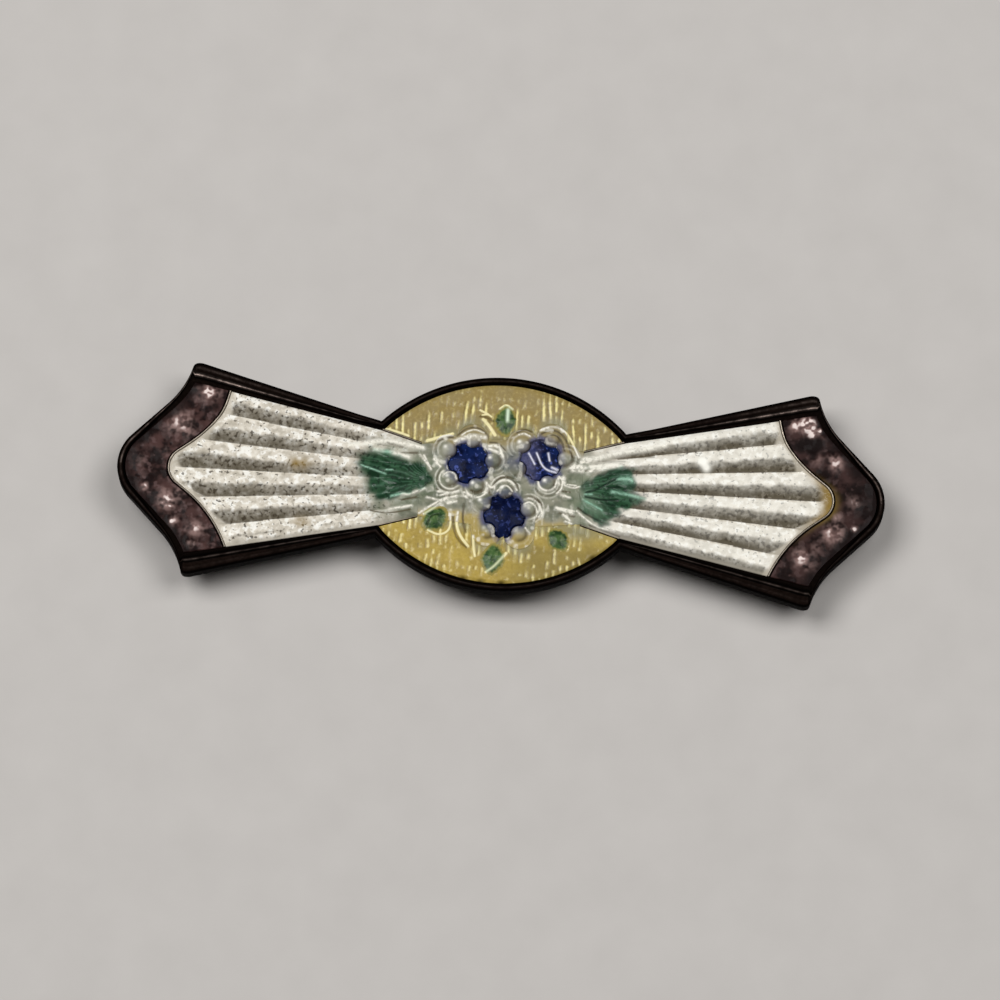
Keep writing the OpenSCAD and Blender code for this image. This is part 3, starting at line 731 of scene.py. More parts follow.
def fan_grid(left, right, rows, columns, side):
    """Grid between two ogee curves or lines and the field's slanting edges, on the right or
    mirrored to the left."""
    w = np.linspace(-1, 1, rows)[:, None]
    far = crossing(lambda x: right(w * (field_y(x) - GAP)), np.full_like(w, 17.0))
    near = crossing(lambda x: left(w * (field_y(x) - GAP)), np.full_like(w, 17.0))
    x = near + np.linspace(0, 1, columns)[None] * (far - near)
    y = w * (field_y(x) - GAP)
    return (x, y) if side > 0 else (-x[:, ::-1], y[:, ::-1])


def soft_edge(amount):
    """Amount of a dark tone over a pale one that fades evenly to the eye: 1 - (1 - f)^2."""
    return 1 - (1 - amount) * (1 - amount)


def clear_enamel(name):
    """Clear enamel over grained silver: cream with bright specks, a painted sparkle, and dark
    specks, greyer as painted shade where the mark flank is high and smooth where margin is. The
    other marks tint it and draw lines on it, and some paint highlights and shade."""
    glass = Finish(name, {
        "Coat Weight": 0.15, "Coat Roughness": 0.07, "Specular IOR Level": 0.08
    })
    margin, bright, dull = glass.mark("margin"), seen(252, 250, 242), seen(172, 164, 148)
    spark = glass.mottle(0.36, 2.0, shift=(2, 5, 0))
    pit = glass.mottle(0.22, 1.0, shift=(5, 8, 1))
    cloud = glass.mottle(0.6, 2.0, shift=(9, 4, 0))
    rough = 1 - margin
    flank = glass.between(glass.mark("flank") + (pit - 0.5) * 0.5 * rough, 0.0, 1.0)
    # Dark specks, denser along the brink of the painted shade.
    pits = glass.between(pit + glass.mark("shade_brink") * 0.08, 0.62, 0.72) * rough
    # Lighter and golden towards the bottom: painted light.
    gold = glass.layered(seen(150, 134, 90), (glass.mark("low"), seen(180, 156, 80)))
    smoky = glass.between(cloud + (spark - 0.5) * 0.7, 0.35, 0.65)
    leaf = soft_edge(glass.between(glass.mark("green") + (spark - 0.5) * 0.4, 0.1, 0.95))
    green = glass.layered(
        seen(26, 52, 34),
        (glass.between(cloud, 0.38, 0.62), seen(42, 74, 50)),
        (glass.mark("streak") * 0.25, seen(96, 140, 112)),
        (glass.between(pit, 0.56, 0.66) * 0.7, seen(24, 40, 30)),
        (glass.mark("bleached"), seen(112, 136, 112)),
    )
    # Cut lines painted dark as shade, raised ones pale as highlights.
    cut = glass.mark("cut") * glass.between(cloud, 0.3, 0.5, 0.5, 0.95)
    raised = glass.mark("raised") * glass.between(pit, 0.38, 0.52, 0.55, 1.0)
    tone = glass.layered(
        seen(204, 196, 181),
        (glass.between(cloud, 0.35, 0.65), seen(230, 223, 209)),
        # Bright specks: a painted sparkle of the grained silver.
        (glass.between(spark, 0.5, 0.64) * 0.85 * rough, bright),
        (glass.between(spark, 0.46, 0.34) * 0.5 * rough, dull),
        # Painted shade on the reeds' lower flanks.
        (flank, seen(92, 85, 71)),
        (glass.between(spark, 0.52, 0.66) * flank * 0.25 * rough, seen(186, 178, 162)),
        (pits * 0.8, seen(62, 54, 43)),
        (margin * 0.8, seen(186, 178, 162)),
        (glass.mark("gold"), gold),
        (glass.mark("smoke"), glass.layered(seen(88, 94, 76), (smoky, seen(126, 127, 108)))),
        (glass.mark("halo"), seen(78, 102, 72)),
        (glass.mark("violet"), seen(70, 74, 112)),
        (glass.mark("pale"), seen(222, 220, 206)),
        (leaf, green),
        (cut, glass.layered(seen(84, 75, 56), (leaf, seen(20, 36, 26)))),
        (raised, glass.layered(seen(243, 239, 225), (leaf, seen(142, 184, 160)))),
        # Painted highlights, and the real chips.
        (glass.mark("highlight_and_chips"), seen(254, 252, 242)),
        (soft_edge(glass.mark("stain")), seen(134, 108, 46)),
    )
    return glass.finish(
        Base_Color=tone,
        Roughness=glass.between(cloud, 0.35, 0.65, 0.3, 0.45),
        Normal=glass.relief(spark * rough + cloud, 0.04, 0.6),
    )


white_enamel = clear_enamel("white_enamel")


def wing(side, word):
    """One wing, which runs a little way in under the edge of the spray."""
    inner, outer = SPRAY_X - 0.1, SEAM_HALF + 0.01
    x, y = fan_grid(
        lambda y: np.full_like(y, inner), lambda y: seam_x(y, outer),
        WING_ROWS, WING_COLUMNS, side,
    )
    z, marks = field_marks(x, y)
    far = np.abs(x)
    z = z - 0.04 * ease(0.25, 0, field_y(far) - np.abs(y)) - 0.04 * ease(0.03, 0, far - SPRAY_X)
    piece = slab(f"wing_{word}", x, y, z, white_enamel, marks)
    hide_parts(f"wing_enamel_{word}")


wing(1, "right")
wing(-1, "left")


# Ogee ends: hammered silver under dark aubergine enamel. Lumps of the hammered ground are painted
# with pinkish light and white cores as reflections through the enamel, and the hollows between
# them and along the rim are painted nearly black as shade. An olive stain runs along the right
# divider where it bulges.
END_TOP, LUMP_RISE = 3.80, 0.05
RIM_EDGE = RIM_WIDTH + 0.02
END_ROWS, END_COLUMNS = 170, 60
# Each lump is a place, a size and a strength, which is below nothing for a hollow.
END_LUMPS = [
    (-17.2, 4.5, 0.5, 0.9), (-16.6, 4.45, 0.3, 0.4), (-18.7, 2.6, 0.7, 0.8),
    (-18.4, 2.2, 0.5, 0.6), (-17.9, 4.7, 0.3, 0.5), (-19.3, 0.9, 0.4, 0.3),
    (-20.9, 0.3, 0.35, 0.35), (-20.6, -1.3, 0.22, 0.9), (-19.2, -2.0, 0.6, 0.85),
    (-19.0, -2.3, 0.2, 1.2), (-18.6, -1.5, 0.4, 0.5), (-18.8, -3.2, 0.3, 0.7),
    (-17.5, -3.6, 0.5, 0.75), (-17.7, -4.5, 0.25, 0.9), (-18.9, -3.25, 0.15, 1.1),
    (-17.3, 4.6, 0.2, 1.2), (16.9, 4.4, 0.5, 0.8), (17.6, 4.5, 0.55, 1.1), (17.9, 4.0, 0.5, 1.0),
    (17.9, 3.3, 0.55, -1.5), (17.3, 3.2, 0.45, -1.1), (20.7, 1.9, 0.6, -0.9),
    (21.2, -0.6, 0.5, -0.9), (19.3, 2.3, 0.5, 0.75), (18.2, 2.5, 0.5, 0.45),
    (20.5, 0.05, 0.45, 0.75), (19.2, 0.7, 0.25, 0.4), (19.5, -0.9, 0.3, 0.6),
    (19.4, -1.9, 0.6, 0.8), (17.6, -3.4, 0.5, 0.85), (18.2, -4.0, 0.5, 0.45),
    (20.55, -1.55, 0.2, 0.9), (18.3, -2.9, 0.5, 0.4), (17.7, 4.75, 0.2, 1.3),
    (18.3, 4.2, 0.18, 1.3), (17.3, 4.6, 0.16, 1.0), (17.5, -3.2, 0.25, 1.1),
    (19.2, -1.7, 0.22, 1.0),
]
DARK_NOSE = [(21.2, 0.2, 1.2, 2.2, 0.6)]
OLIVE_STAIN = [(18.9, -0.6, 1.6, 1.6, 0.75)]
aubergine = Finish("aubergine_enamel", {
    "Coat Weight": 0.02, "Coat Roughness": 0.06, "Specular IOR Level": 0.03
})
cloud = aubergine.mottle(0.9, 2.0, shift=(4, 3, 2))
glint = aubergine.mottle(0.35, 1.0, shift=(1, 7, 2))
# Pinkish light on the lumps: a painted reflection.
light = aubergine.mark("lump") * aubergine.between(glint, 0.32, 0.6, 0.35, 1.0)
aubergine_enamel = aubergine.finish(
    Base_Color=aubergine.layered(
        seen(33, 19, 17),
        (aubergine.between(cloud, 0.38, 0.66), seen(74, 52, 49)),
        (aubergine.between(glint, 0.54, 0.7) * 0.5, seen(104, 82, 80)),
        (aubergine.between(cloud + (glint - 0.5) * 0.5, 0.48, 0.36), seen(24, 12, 11)),
        (aubergine.between(light, 0.05, 0.8) * 0.9, seen(158, 130, 124)),
        (aubergine.between(light + glint * 0.4, 0.78, 1.05), seen(236, 220, 214)),
        # Painted shade in the hollows and along the rim.
        (soft_edge(aubergine.mark("hollow")), seen(20, 11, 10)),
        (aubergine.mark("stain"), seen(108, 88, 36)),
    ),
    Roughness=aubergine.between(glint, 0.3, 0.7, 0.3, 0.45),
    Normal=aubergine.relief(glint + cloud * 2, 0.03, 0.6),
)


def ogee_end(side, word):
    """One end: low lumps, each a rounded bell, over a ground of soft random heights."""
    x, y = fan_grid(
        lambda y: seam_x(y, -SEAM_HALF - 0.01), lambda y: ogee_x(y, OGEE, RIM_EDGE),
        END_ROWS, END_COLUMNS, side,
    )
    lump, hollow = np.zeros_like(x), np.zeros_like(x)
    ragged = 1 + 0.25 * grain(x, y, 0.45, 34)
    for lump_x, lump_y, size, strength in END_LUMPS:
        here = strength * bell(np.hypot(x - lump_x, y - lump_y) * ragged, size * 1.1)
        lump, hollow = np.maximum(lump, here), np.maximum(hollow, -here)
    rimward = ogee_x(y, OGEE, RIM_WIDTH) - np.abs(x) + 0.2 * grain(x, y, 0.5, 35)
    right = float(side > 0)
    # Painted shade: towards the rim, on the right end's ground between the lumps, and at its nose.
    hollow = np.maximum(hollow, 0.6 * ease(0.8, 0, rimward) + 0.22 * right * ease(0.6, 0.2, lump))
    hollow = np.maximum(hollow, spots(x, y, DARK_NOSE))
    hollow = np.minimum(hollow, 1) * ease(1.0, 0.5, lump)
    z = END_TOP + LUMP_RISE * lump + 0.014 * grain(x, y, 0.6, 31) + 0.006 * grain(x, y, 0.28, 32)
    near = np.abs(x) - seam_x(y, -SEAM_HALF)
    marks = {"lump": lump, "hollow": hollow, "stain": bell(near, 0.28) * spots(x, y, OLIVE_STAIN)}
    piece = slab(f"end_{word}", x, y, z, aubergine_enamel, marks)
    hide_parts(f"end_enamel_{word}")


ogee_end(1, "right")
ogee_end(-1, "left")


# Oval: silver cut with upright engine-turned lines under clear pale yellow enamel, browner on top
# and painted lighter and golden below as light, and chipped in a few places along its lower
# edge. The lines show as short strokes painted bright as highlights, each with a painted olive
# shadow, thickest near the spray.
PETAL_REACH = 1.42
PETAL_ROUND = 0.9
# Each flower's middle, then its petals: turn, and strength of the ring, paleness and painted
# highlight.
FLOWERS = [
    ((-1.92, 1.14), [(9, 0.3, 0.2, 0.9), (83, 0, 0.7, 0.2), (149, 0.3, 0.9, 0.7),
                     (224, 0.8, 0.5, 0.7), (290, 0.8, 0.4, 1)]),
    ((2.25, 1.52), [(7, 0.3, 0.6, 0.3), (66, 0, 0.2, 0.2), (142, 0.3, 0.5, 1),
                    (204, 0, 0, 0.15), (289, 0.5, 0.5, 1)]),
    ((0.32, -1.78), [(16, 0.7, 0.5, 0.5), (92, 1, 0.2, 1), (155, 0.2, 0.5, 1),
                     (227, 0, 0.1, 0.3), (309, 0.1, 0.4, 0.3)]),
]
BEADS = np.array([
    [cx + PETAL_REACH * np.cos(np.radians(turn)), cy + PETAL_REACH * np.sin(np.radians(turn)),
     cx, cy, *look]
    for (cx, cy), petals in FLOWERS for turn, *look in petals
])
OVAL_TOP, STROKE_RISE, STROKE_PITCH, SHADOW_LAG = 3.79, 0.04, 0.37, 0.37
OVAL_ROWS, OVAL_COLUMNS = 80, 420
EDGE_CHIPS = [
    (x, y, 0.221, 0.17, 1) for x, y in [(-1.9, -5.75), (-0.85, -5.9), (0.35, -5.9), (5.6, -4.15)]
]
GREY_WASH = [(4.6, -2.6, 1.8, 0.55, 0.9)]
OLIVE_DUSK = [(0.4, -3.3, 1.1, 0.4, 0.8)]
yellow = Finish("yellow_enamel", {
    "Coat Weight": 0.15, "Coat Roughness": 0.07, "Specular IOR Level": 0.08
})
cloud = yellow.mottle(1.1, 3.0, shift=(3, 3, 3))
fine = yellow.mottle(0.2, 2.0, shift=(3, 8, 3))
shadow = yellow.between(yellow.mark("shadow") + (fine - 0.5) * 0.5, 0.1, 0.7)
glint_stroke = yellow.between(yellow.mark("glint_stroke") + (fine - 0.5) * 0.6, 0.05, 0.85)
yellow_enamel = yellow.finish(
    Base_Color=yellow.layered(
        seen(146, 129, 84),
        # Lighter and golden towards the bottom: painted light.
        (yellow.mark("low"), seen(178, 154, 72)),
        (yellow.between(cloud, 0.38, 0.62) * 0.5, seen(150, 128, 66)),
        (yellow.between(fine, 0.5, 0.68) * 0.18, seen(206, 186, 122)),
        (yellow.between(fine, 0.45, 0.32) * 0.2, seen(120, 102, 46)),
        (yellow.mark("dusk"), seen(120, 108, 60)),
        (shadow * 0.5, seen(104, 90, 38)),
        # Bright strokes: painted highlights on the lines' crests.
        (glint_stroke * 0.9, seen(242, 229, 160)),
        (yellow.mark("wash"), seen(134, 130, 98)),
        # Raised lines painted pale as highlights, cut ones dark as shade.
        (yellow.between(yellow.mark("raised"), 0.05, 0.7), seen(240, 229, 176)),
        (yellow.mark("cut") * 0.8, seen(88, 72, 32)),
        (yellow.mark("chip"), seen(40, 30, 14)),
    ),
    Roughness=yellow.between(cloud, 0.3, 0.7, 0.3, 0.42),
    Normal=yellow.relief(fine + cloud, 0.03, 0.6),
)


def spray_edge(x, up):
    """Edge of the spray's ground: a slack line from side to middle, with each petal's round lobe
    standing beyond it."""
    edge = 2.65 - 0.109 * np.abs(x)
    for bx, by in BEADS[:, :2]:
        lobe = by * up + np.sqrt(np.maximum(PETAL_ROUND**2 - (x - bx) ** 2, 0))
        edge = np.where(np.abs(x - bx) < PETAL_ROUND, np.maximum(edge, lobe), edge)
    return edge * up


def cut_strokes(x, y, edge, up, seed):
    """Bright strokes, painted highlights, and their painted shadows: an upright comb whose teeth
    are broken up by soft random heights and fade with the distance from the spray; the shadow
    stands to the left of each."""
    near = 0.35 + 0.65 * ease(2.4, 0.6, edge) if up > 0 else 0.6 + 0.4 * ease(1.0, 0.2, edge)
    bent = (x + 0.1 * grain(x, y, 1.3, seed)) / STROKE_PITCH
    length = 0.36 if up > 0 else 0.28
    live = grain(np.round(bent) * 3.7, y, length, seed + 1) + 0.5 * near - 0.2
    live = ease(-0.25, 0.75, live)
    live *= 0.9 + 0.4 * grain(x, y, 0.9, seed + 3) + 0.4 * grain(x, y, 0.2, seed + 4)
    live = np.clip(live, 0, 1) * near
    tooth = (0.5 + 0.5 * np.cos(2 * np.pi * bent)) ** 2
    behind = (0.5 + 0.5 * np.cos(2 * np.pi * (bent + SHADOW_LAG))) ** 3
    return tooth * live, behind * live


def oval_piece(up, word, seed):
    """One half of the oval's enamel: columns from under the spray's edge or from the neck seam
    out to the rim."""
    reach = crossing(lambda x: oval_x(field_y(x) + 0.1, RIM_EDGE), WAIST[0])
    x = np.linspace(-reach, reach, OVAL_COLUMNS)[None]
    beside = field_y(np.abs(x)) + 0.11
    inside = np.where(np.abs(x) < SPRAY_X, np.abs(spray_edge(x, up)) - 0.08, beside)
    outside = np.maximum(oval_y(x, RIM_EDGE), inside + 0.001)
    share = np.linspace(0, 1, OVAL_ROWS)[:, None]
    y = inside + share * (outside - inside)
    y, x = y * up, np.broadcast_to(x, y.shape)
    if up < 0:
        x, y = x[::-1], y[::-1]
    edge = np.abs(y) - np.abs(spray_edge(x, up))
    glint_stroke, shadow = cut_strokes(x, y, edge, up, seed)
    raised, cut = line_mark(x, y, RAISED_LINES), line_mark(x, y, CUT_LINES)
    chip = spots(x, y, EDGE_CHIPS)
    z = OVAL_TOP + STROKE_RISE * glint_stroke + 0.012 * grain(x, y, 0.5, seed + 2)
    z = z + 0.05 * raised - 0.04 * cut
    z = z - 0.05 * ease(0.2, 0, oval_y(x, RIM_WIDTH) - np.abs(y)) - 0.15 * chip
    z = z - 0.05 * ease(0.04, -0.02, edge) * (np.abs(x) < SPRAY_X)
    wash = (0.7 + 0.3 * grain(x, y, 0.5, 47)) * ease(0.8, 0, edge) * ease(5.2, 4.4, np.abs(x))
    dusk = 0.6 * ease(-0.5, 2.5, x) * ease(-3.0, -4.0, y) + spots(x, y, OLIVE_DUSK)
    # The stroke and shadow marks paint highlights and shade, and low paints the lower half lighter
    # as light.
    marks = {
        "glint_stroke": glint_stroke, "shadow": shadow, "raised": raised, "cut": cut, "chip": chip,
        "wash": np.maximum(wash, spots(x, y, GREY_WASH)), "dusk": np.clip(dusk, 0, 1),
        "low": ease(1.5, -3.0, y),
    }
    piece = slab(f"oval_{word}", x, y, z, yellow_enamel, marks)
    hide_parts(f"oval_enamel_{word}")


oval_piece(1, "top", 41)
oval_piece(-1, "bottom", 51)


# Spray: flower petals struck as round lobes with a bead on each, all of one piece with the plate,
# under clear enamel that runs from yellow at the outer petals to smoky grey in the middle.
BEAD_ROUND, BEAD_RISE = 0.5, 0.2
WELL_ROUND, WELL_FLOOR = 1.24, 3.55
SPRAY_ROWS, SPRAY_COLUMNS = 240, 340
SMOKY_SPOTS = [(0.95, 0.75, 0.6, 0.7, 0.4), (0.2, 0.95, 0.7, 0.4, 0.5), (1.5, -0.3, 0.6, 0.4, 0.4)]
VIOLET_SPOT = [(0.8, 1.3, 0.91, 0.49, 0.5)]


def low_tip(turn, middle_y):
    """How much farther the lowest flower's blue reaches, in a bell about straight down."""
    return 0.25 * bell(turn + 1.62, 0.35) * (middle_y < 0)


def spray():
    """Ground, petals and beads as one sheet of heights: the nearest bead rules a point, with a
    soft round bump, and rings on the side away from the flower; the flower middles are cut out
    as wells."""
    x = np.linspace(-SPRAY_X, SPRAY_X, SPRAY_COLUMNS)[None]
    low, high = spray_edge(x, -1), spray_edge(x, 1)
    share = np.linspace(0, 1, SPRAY_ROWS)[:, None]
    y = low + share * (high - low)
    x = np.broadcast_to(x, y.shape)
    z, marks = field_marks(x, y)
    away = np.stack([np.hypot(x - bx, y - by) for bx, by in BEADS[:, :2]])
    near, d = away.argmin(0), away.min(0)
    bx, by, cx, cy, ring, pale, highlight_and_chips = [BEADS[near, k] for k in range(7)]
    far, safe = np.abs(x), np.maximum(d, 1e-6)
    out = ((x - bx) * (bx - cx) + (y - by) * (by - cy)) / (safe * PETAL_REACH)
    outer = ease(-0.35, 0.35, out) * ring
    # Rings on each petal's outer side: painted highlight lines with a painted shade line between.
    light = np.maximum(bell(d - 0.62, 0.055), 0.7 * bell(d - 0.88, 0.05)) * outer
    dark = bell(d - 0.75, 0.05) * outer
    bump = np.maximum(1 - (d / BEAD_ROUND) ** 2, 0) ** 1.5
    z = z + 0.05 * ease(0.95, 0.75, d) * ease(4.6, 4.0, far) + 0.05 * light - 0.04 * dark
    z = z + BEAD_RISE * bump
    hub = np.stack([
        np.hypot(x - cx, y - cy) - low_tip(np.arctan2(y - cy, x - cx), cy)
        for (cx, cy), _ in FLOWERS
    ]).min(0)
    z = np.where((hub < WELL_ROUND) & (d > BEAD_ROUND - 0.05), WELL_FLOOR, z)
    upper = ease(2.05, 2.75, y + 0.45 * ease(2.0, 3.0, x) + 0.2 * grain(x, y, 0.5, 63))
    under = ease(1.5, 2.1, -y) * ease(-0.6, -1.4, x) + ease(2.5, 3.2, -y) * ease(-1.6, -0.6, x)
    brim = ease(0.75, 0.1, np.minimum(high - y, y - low) + 0.3 * grain(x, y, 0.4, 68))
    gold = np.clip(upper + under + 0.85 * brim * ease(4.4, 3.7, far), 0, 1)
    ball = ease(BEAD_ROUND, BEAD_ROUND - 0.25, d)
    wisp = 0.5 * ease(0.3, 0.8, grain(x, y, 0.28, 66)) * ease(4.6, 3.8, far)
    # Dark crescent at each bead's lower right: painted shade.
    right_low = ((x - bx) * 0.78 - (y - by) * 0.62) / safe
    shade_crescent = 0.7 * bell(d - 0.42, 0.12) * ease(-0.1, 0.7, right_low)
    smoke = marks["smoke"] + 0.5 * spots(x, y, SMOKY_SPOTS) + 0.3 * ball * (1 - pale)
    stray = 0.85 * ease(1.6, 1.25, hub + 0.15 * grain(x, y, 0.35, 67)) * (1 - 0.4 * ball)
    # The highlight mark paints a highlight at each bead's upper left, and low paints the lower
    # part lighter as light.
    marks.update({
        "raised": np.clip(light + marks["raised"] + wisp, 0, 1),
        "cut": np.clip(dark + marks["cut"] + shade_crescent, 0, 1),
        "margin": np.clip(marks["margin"] + ease(4.6, 3.8, far), 0, 1),
        "gold": gold, "low": ease(1.5, -3.0, y), "pale": 0.28 * ball * pale,
        "smoke": np.clip(smoke, 0, 1) * (1 - 0.75 * gold),
        "violet": np.maximum(spots(x, y, VIOLET_SPOT), stray),
        "highlight_and_chips": highlight_and_chips * bell(np.hypot(x - bx + 0.19, y - by - 0.15), 0.11),
    })
    piece = slab("spray", x, y, z, clear_enamel("spray_enamel"), marks)
    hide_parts("plate")


spray()


# Flower middles: deep blue enamel laid in a well between the beads of each flower, domed and
# glossy. The right one is worn, faded to violet grey and scratched down to the silver.
DOME_TOP, DOME_UNDER, DOME_FALL, DOME_ROUND = 3.95, 3.5, 0.12, 1.2
BLUE_REACH = 1.18
MIDDLE_RINGS, MIDDLE_POINTS = 26, 96
SCRATCHES = {
    0.05: [[(1.98, 1.92), (2.42, 0.98), (3.22, 0.83)], [(2.65, 1.95), (2.75, 1.5)]],
    0.045: [[(1.52, 1.9), (1.9, 1.25)]],
    0.06: [[(2.9, 1.12), (3.3, 0.98)]],
}
blue = Finish("blue_enamel", {
    "Coat Weight": 0.02, "Coat Roughness": 0.08, "Specular IOR Level": 0.02
})
cloud = blue.mottle(0.6, 3.0, shift=(2, 2, 9))
fine = blue.mottle(0.2, 2.0, shift=(2, 9, 9))
blue_enamel = blue.finish(
    Base_Color=blue.layered(
        seen(4, 9, 36),
        (blue.between(cloud, 0.36, 0.64), seen(17, 32, 76)),
        (blue.between(fine, 0.56, 0.68) * 0.7, seen(78, 94, 168)),
        (blue.mark("deep") * 0.6, seen(5, 10, 36)),
        (blue.mark("faded") * blue.between(fine, 0.35, 0.6, 0.5, 1.0), seen(84, 84, 116)),
        (blue.mark("scratch"), seen(224, 224, 238)),
    ),
    Roughness=blue.between(fine, 0.3, 0.7, 0.25, 0.4),
    Normal=blue.relief(fine + cloud * 2, 0.025, 0.6),
)


def shrinking_rings(rings):
    """Shares of the reach from 1 down, one for each ring, without the point that they close to."""
    return np.linspace(1, 0, rings, endpoint=False)[:, None]


def domed(name, x, y, z, under, pole, finish, marks):
    """Closed piece: rings of points that shrink to a pole, a wall that drops from the outermost
    to the level under, and one flat face that closes it."""
    rings, count = x.shape
    skirt = np.stack([x[0], y[0], np.full(count, under)], -1)
    points = np.concatenate([skirt, np.stack([x, y, z], -1).reshape(-1, 3), [pole]])
    last = rings * count + np.arange(count)
    tip = np.stack([last, np.roll(last, -1), np.full(count, len(points) - 1)], -1)
    faces = grid_faces(rings + 1, count, closed_rows=True) + tip.tolist()
    faces.append(list(range(count))[::-1])
    kept = {key: np.concatenate([m[0], m.ravel(), [m[-1, 0]]]) for key, m in marks.items()}
    return lay_mesh(name, points, faces, finish, kept)


def flower_middle(centre, petals, worn, word):
    """Dome over a star: rings of points from the middle out, whose reach is the well's radius,
    less where a bead stands; the height falls off with the square of the distance."""
    cx, cy = centre
    turn = np.linspace(0, 2 * np.pi, MIDDLE_POINTS, endpoint=False)
    reach = BLUE_REACH + 0.09 * grain(6 * np.cos(turn), 6 * np.sin(turn), 0.6, 73)
    reach += low_tip(np.angle(np.exp(1j * turn)), cy)
    for t in np.radians([petal[0] for petal in petals]):
        across = PETAL_REACH * np.abs(np.sin(turn - t))
        along = PETAL_REACH * np.cos(turn - t)
        hit = along - np.sqrt(np.maximum(BEAD_ROUND**2 - across**2, 0))
        reach = np.where((across < BEAD_ROUND) & (along > 0), np.minimum(reach, hit), reach)
    r = shrinking_rings(MIDDLE_RINGS) * reach
    x, y = cx + r * np.cos(turn), cy + r * np.sin(turn)
    z = DOME_TOP - DOME_FALL * (r / DOME_ROUND) ** 2 + 0.01 * grain(x, y, 0.5, 71)
    z[0] -= 0.05
    marks = {
        "faded": worn * ease(2.45, 1.55, x + 0.35 * grain(x, y, 0.35, 72)) * 0.8,
        "scratch": worn * line_mark(x, y, SCRATCHES), "deep": np.full_like(x, cy < 0),
    }
    pole, name = (cx, cy, DOME_TOP), f"flower_middle_{word}"
    piece = domed(name, x, y, z, DOME_UNDER, pole, blue_enamel, marks)
    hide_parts(f"flower_{word}")


for (centre, petals), word in zip(FLOWERS, ("left", "right", "lower")):
    flower_middle(centre, petals, float(word == "right"), word)


# Large leaves: a leaf of three lobes each side of the spray, struck in the silver and covered in
# clear green enamel that has bled a little past its edge, so that it fades into the white.
# Each lobe has a length, a width and a tilt.
LEFT_LOBES = ((3.5, 1.35, 155), (3.95, 1.55, 171), (3.2, 1.35, 204))
RIGHT_LOBES = ((3.4, 1.35, 27), (3.85, 1.55, -4), (2.45, 1.3, -46))
LEAF_RINGS, LEAF_POINTS = 100, 280
green_enamel = clear_enamel("green_enamel")


def leaf(stem_x, stem_y, lobes, name, seed):
    """Lobed blade: a point's direction from the stem gives its reach, the longest of the lobes
    there, each the rim of two round arcs. It swells gently above the white field, and its edge
    lies just under the field's surface."""
    turn = np.linspace(0, 2 * np.pi, LEAF_POINTS, endpoint=False)
    reach = np.full_like(turn, 0.3)
    for length, wide, tilt in lobes:
        bow = (length**2 + wide**2) / (2 * wide) - wide
        off = np.angle(np.exp(1j * (turn - np.radians(tilt))))
        arc = length * np.cos(off) - bow * np.sin(np.abs(off))
        reach = np.maximum(reach, np.where(np.abs(off) < 1.5, arc, 0))
    reach = reach * (1 + 0.03 * grain(turn * 3, turn * 0, 0.5, seed))
    share = shrinking_rings(LEAF_RINGS)
    x, y = stem_x + share * reach * np.cos(turn), stem_y + share * reach * np.sin(turn)
    z, marks = field_marks(x, y)
    inward = (1 - share) * np.maximum(reach, 1.0)
    z = z - 0.03 + 0.03 * ease(0, 0.1, inward) + 0.07 * ease(0.05, 0.7, inward)
    z[-1] = z[-1].mean()
    pole = (stem_x, stem_y, z[-1, 0])
    piece = domed("large_" + name, x, y, z, DOME_UNDER, pole, green_enamel, marks)
    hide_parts(name)


leaf(-4.2, 0.0, LEFT_LOBES, "leaf_left", 81)
leaf(4.6, -0.1, RIGHT_LOBES, "leaf_right", 91)


# Small leaves and the bud: single green leaves on the yellow ground, blurred at their edges. The
# bud's middle carries a pale streak, a painted highlight.
SMALL_TOP, SMALL_UNDER, SMALL_RISE = 3.80, 3.6, 0.12
SMALL_RINGS, SMALL_POINTS = 40, 100
# Each leaf's node, then its heel, its length and width, and its tilt.
SMALL_LEAVES = {
    "bud_top": (0.08, 2.8, 1.86, 1.45, 90),
    "leaf_lower_left": (-3.05, -1.66, 1.78, 1.5, 224),
    "leaf_bottom": (-0.12, -3.5, 1.92, 1.45, 264),
    "leaf_lower_right": (2.92, -2.56, 1.6, 1.3, 315),
}
small = Finish("leaf_green_enamel", {
    "Coat Weight": 0.12, "Coat Roughness": 0.07, "Specular IOR Level": 0.04
})
cloud = small.mottle(0.5, 3.0, shift=(5, 2, 5))
fine = small.mottle(0.2, 2.0, shift=(7, 2, 5))
rim = small.between(small.mark("rim") + (fine - 0.5) * 0.5, 0.1, 1.0)
leaf_green_enamel = small.finish(
    Base_Color=small.layered(
        seen(38, 62, 34),
        (small.between(cloud, 0.38, 0.62), seen(70, 98, 54)),
        (small.between(fine, 0.5, 0.65) * 0.4, seen(118, 136, 88)),
        (rim * 0.9, seen(156, 142, 78)),
        # Cut lines painted dark as shade, raised ones pale as highlights.
        (small.mark("cut") * 0.8, seen(30, 44, 24)),
        (small.mark("raised") * 0.9, seen(214, 220, 178)),
        # The bud's pale streak: a painted highlight.
        (small.mark("streak"), seen(214, 232, 204)),
    ),
    Roughness=small.between(cloud, 0.3, 0.7, 0.28, 0.42),
    Normal=small.relief(fine + cloud, 0.03, 0.6),
)


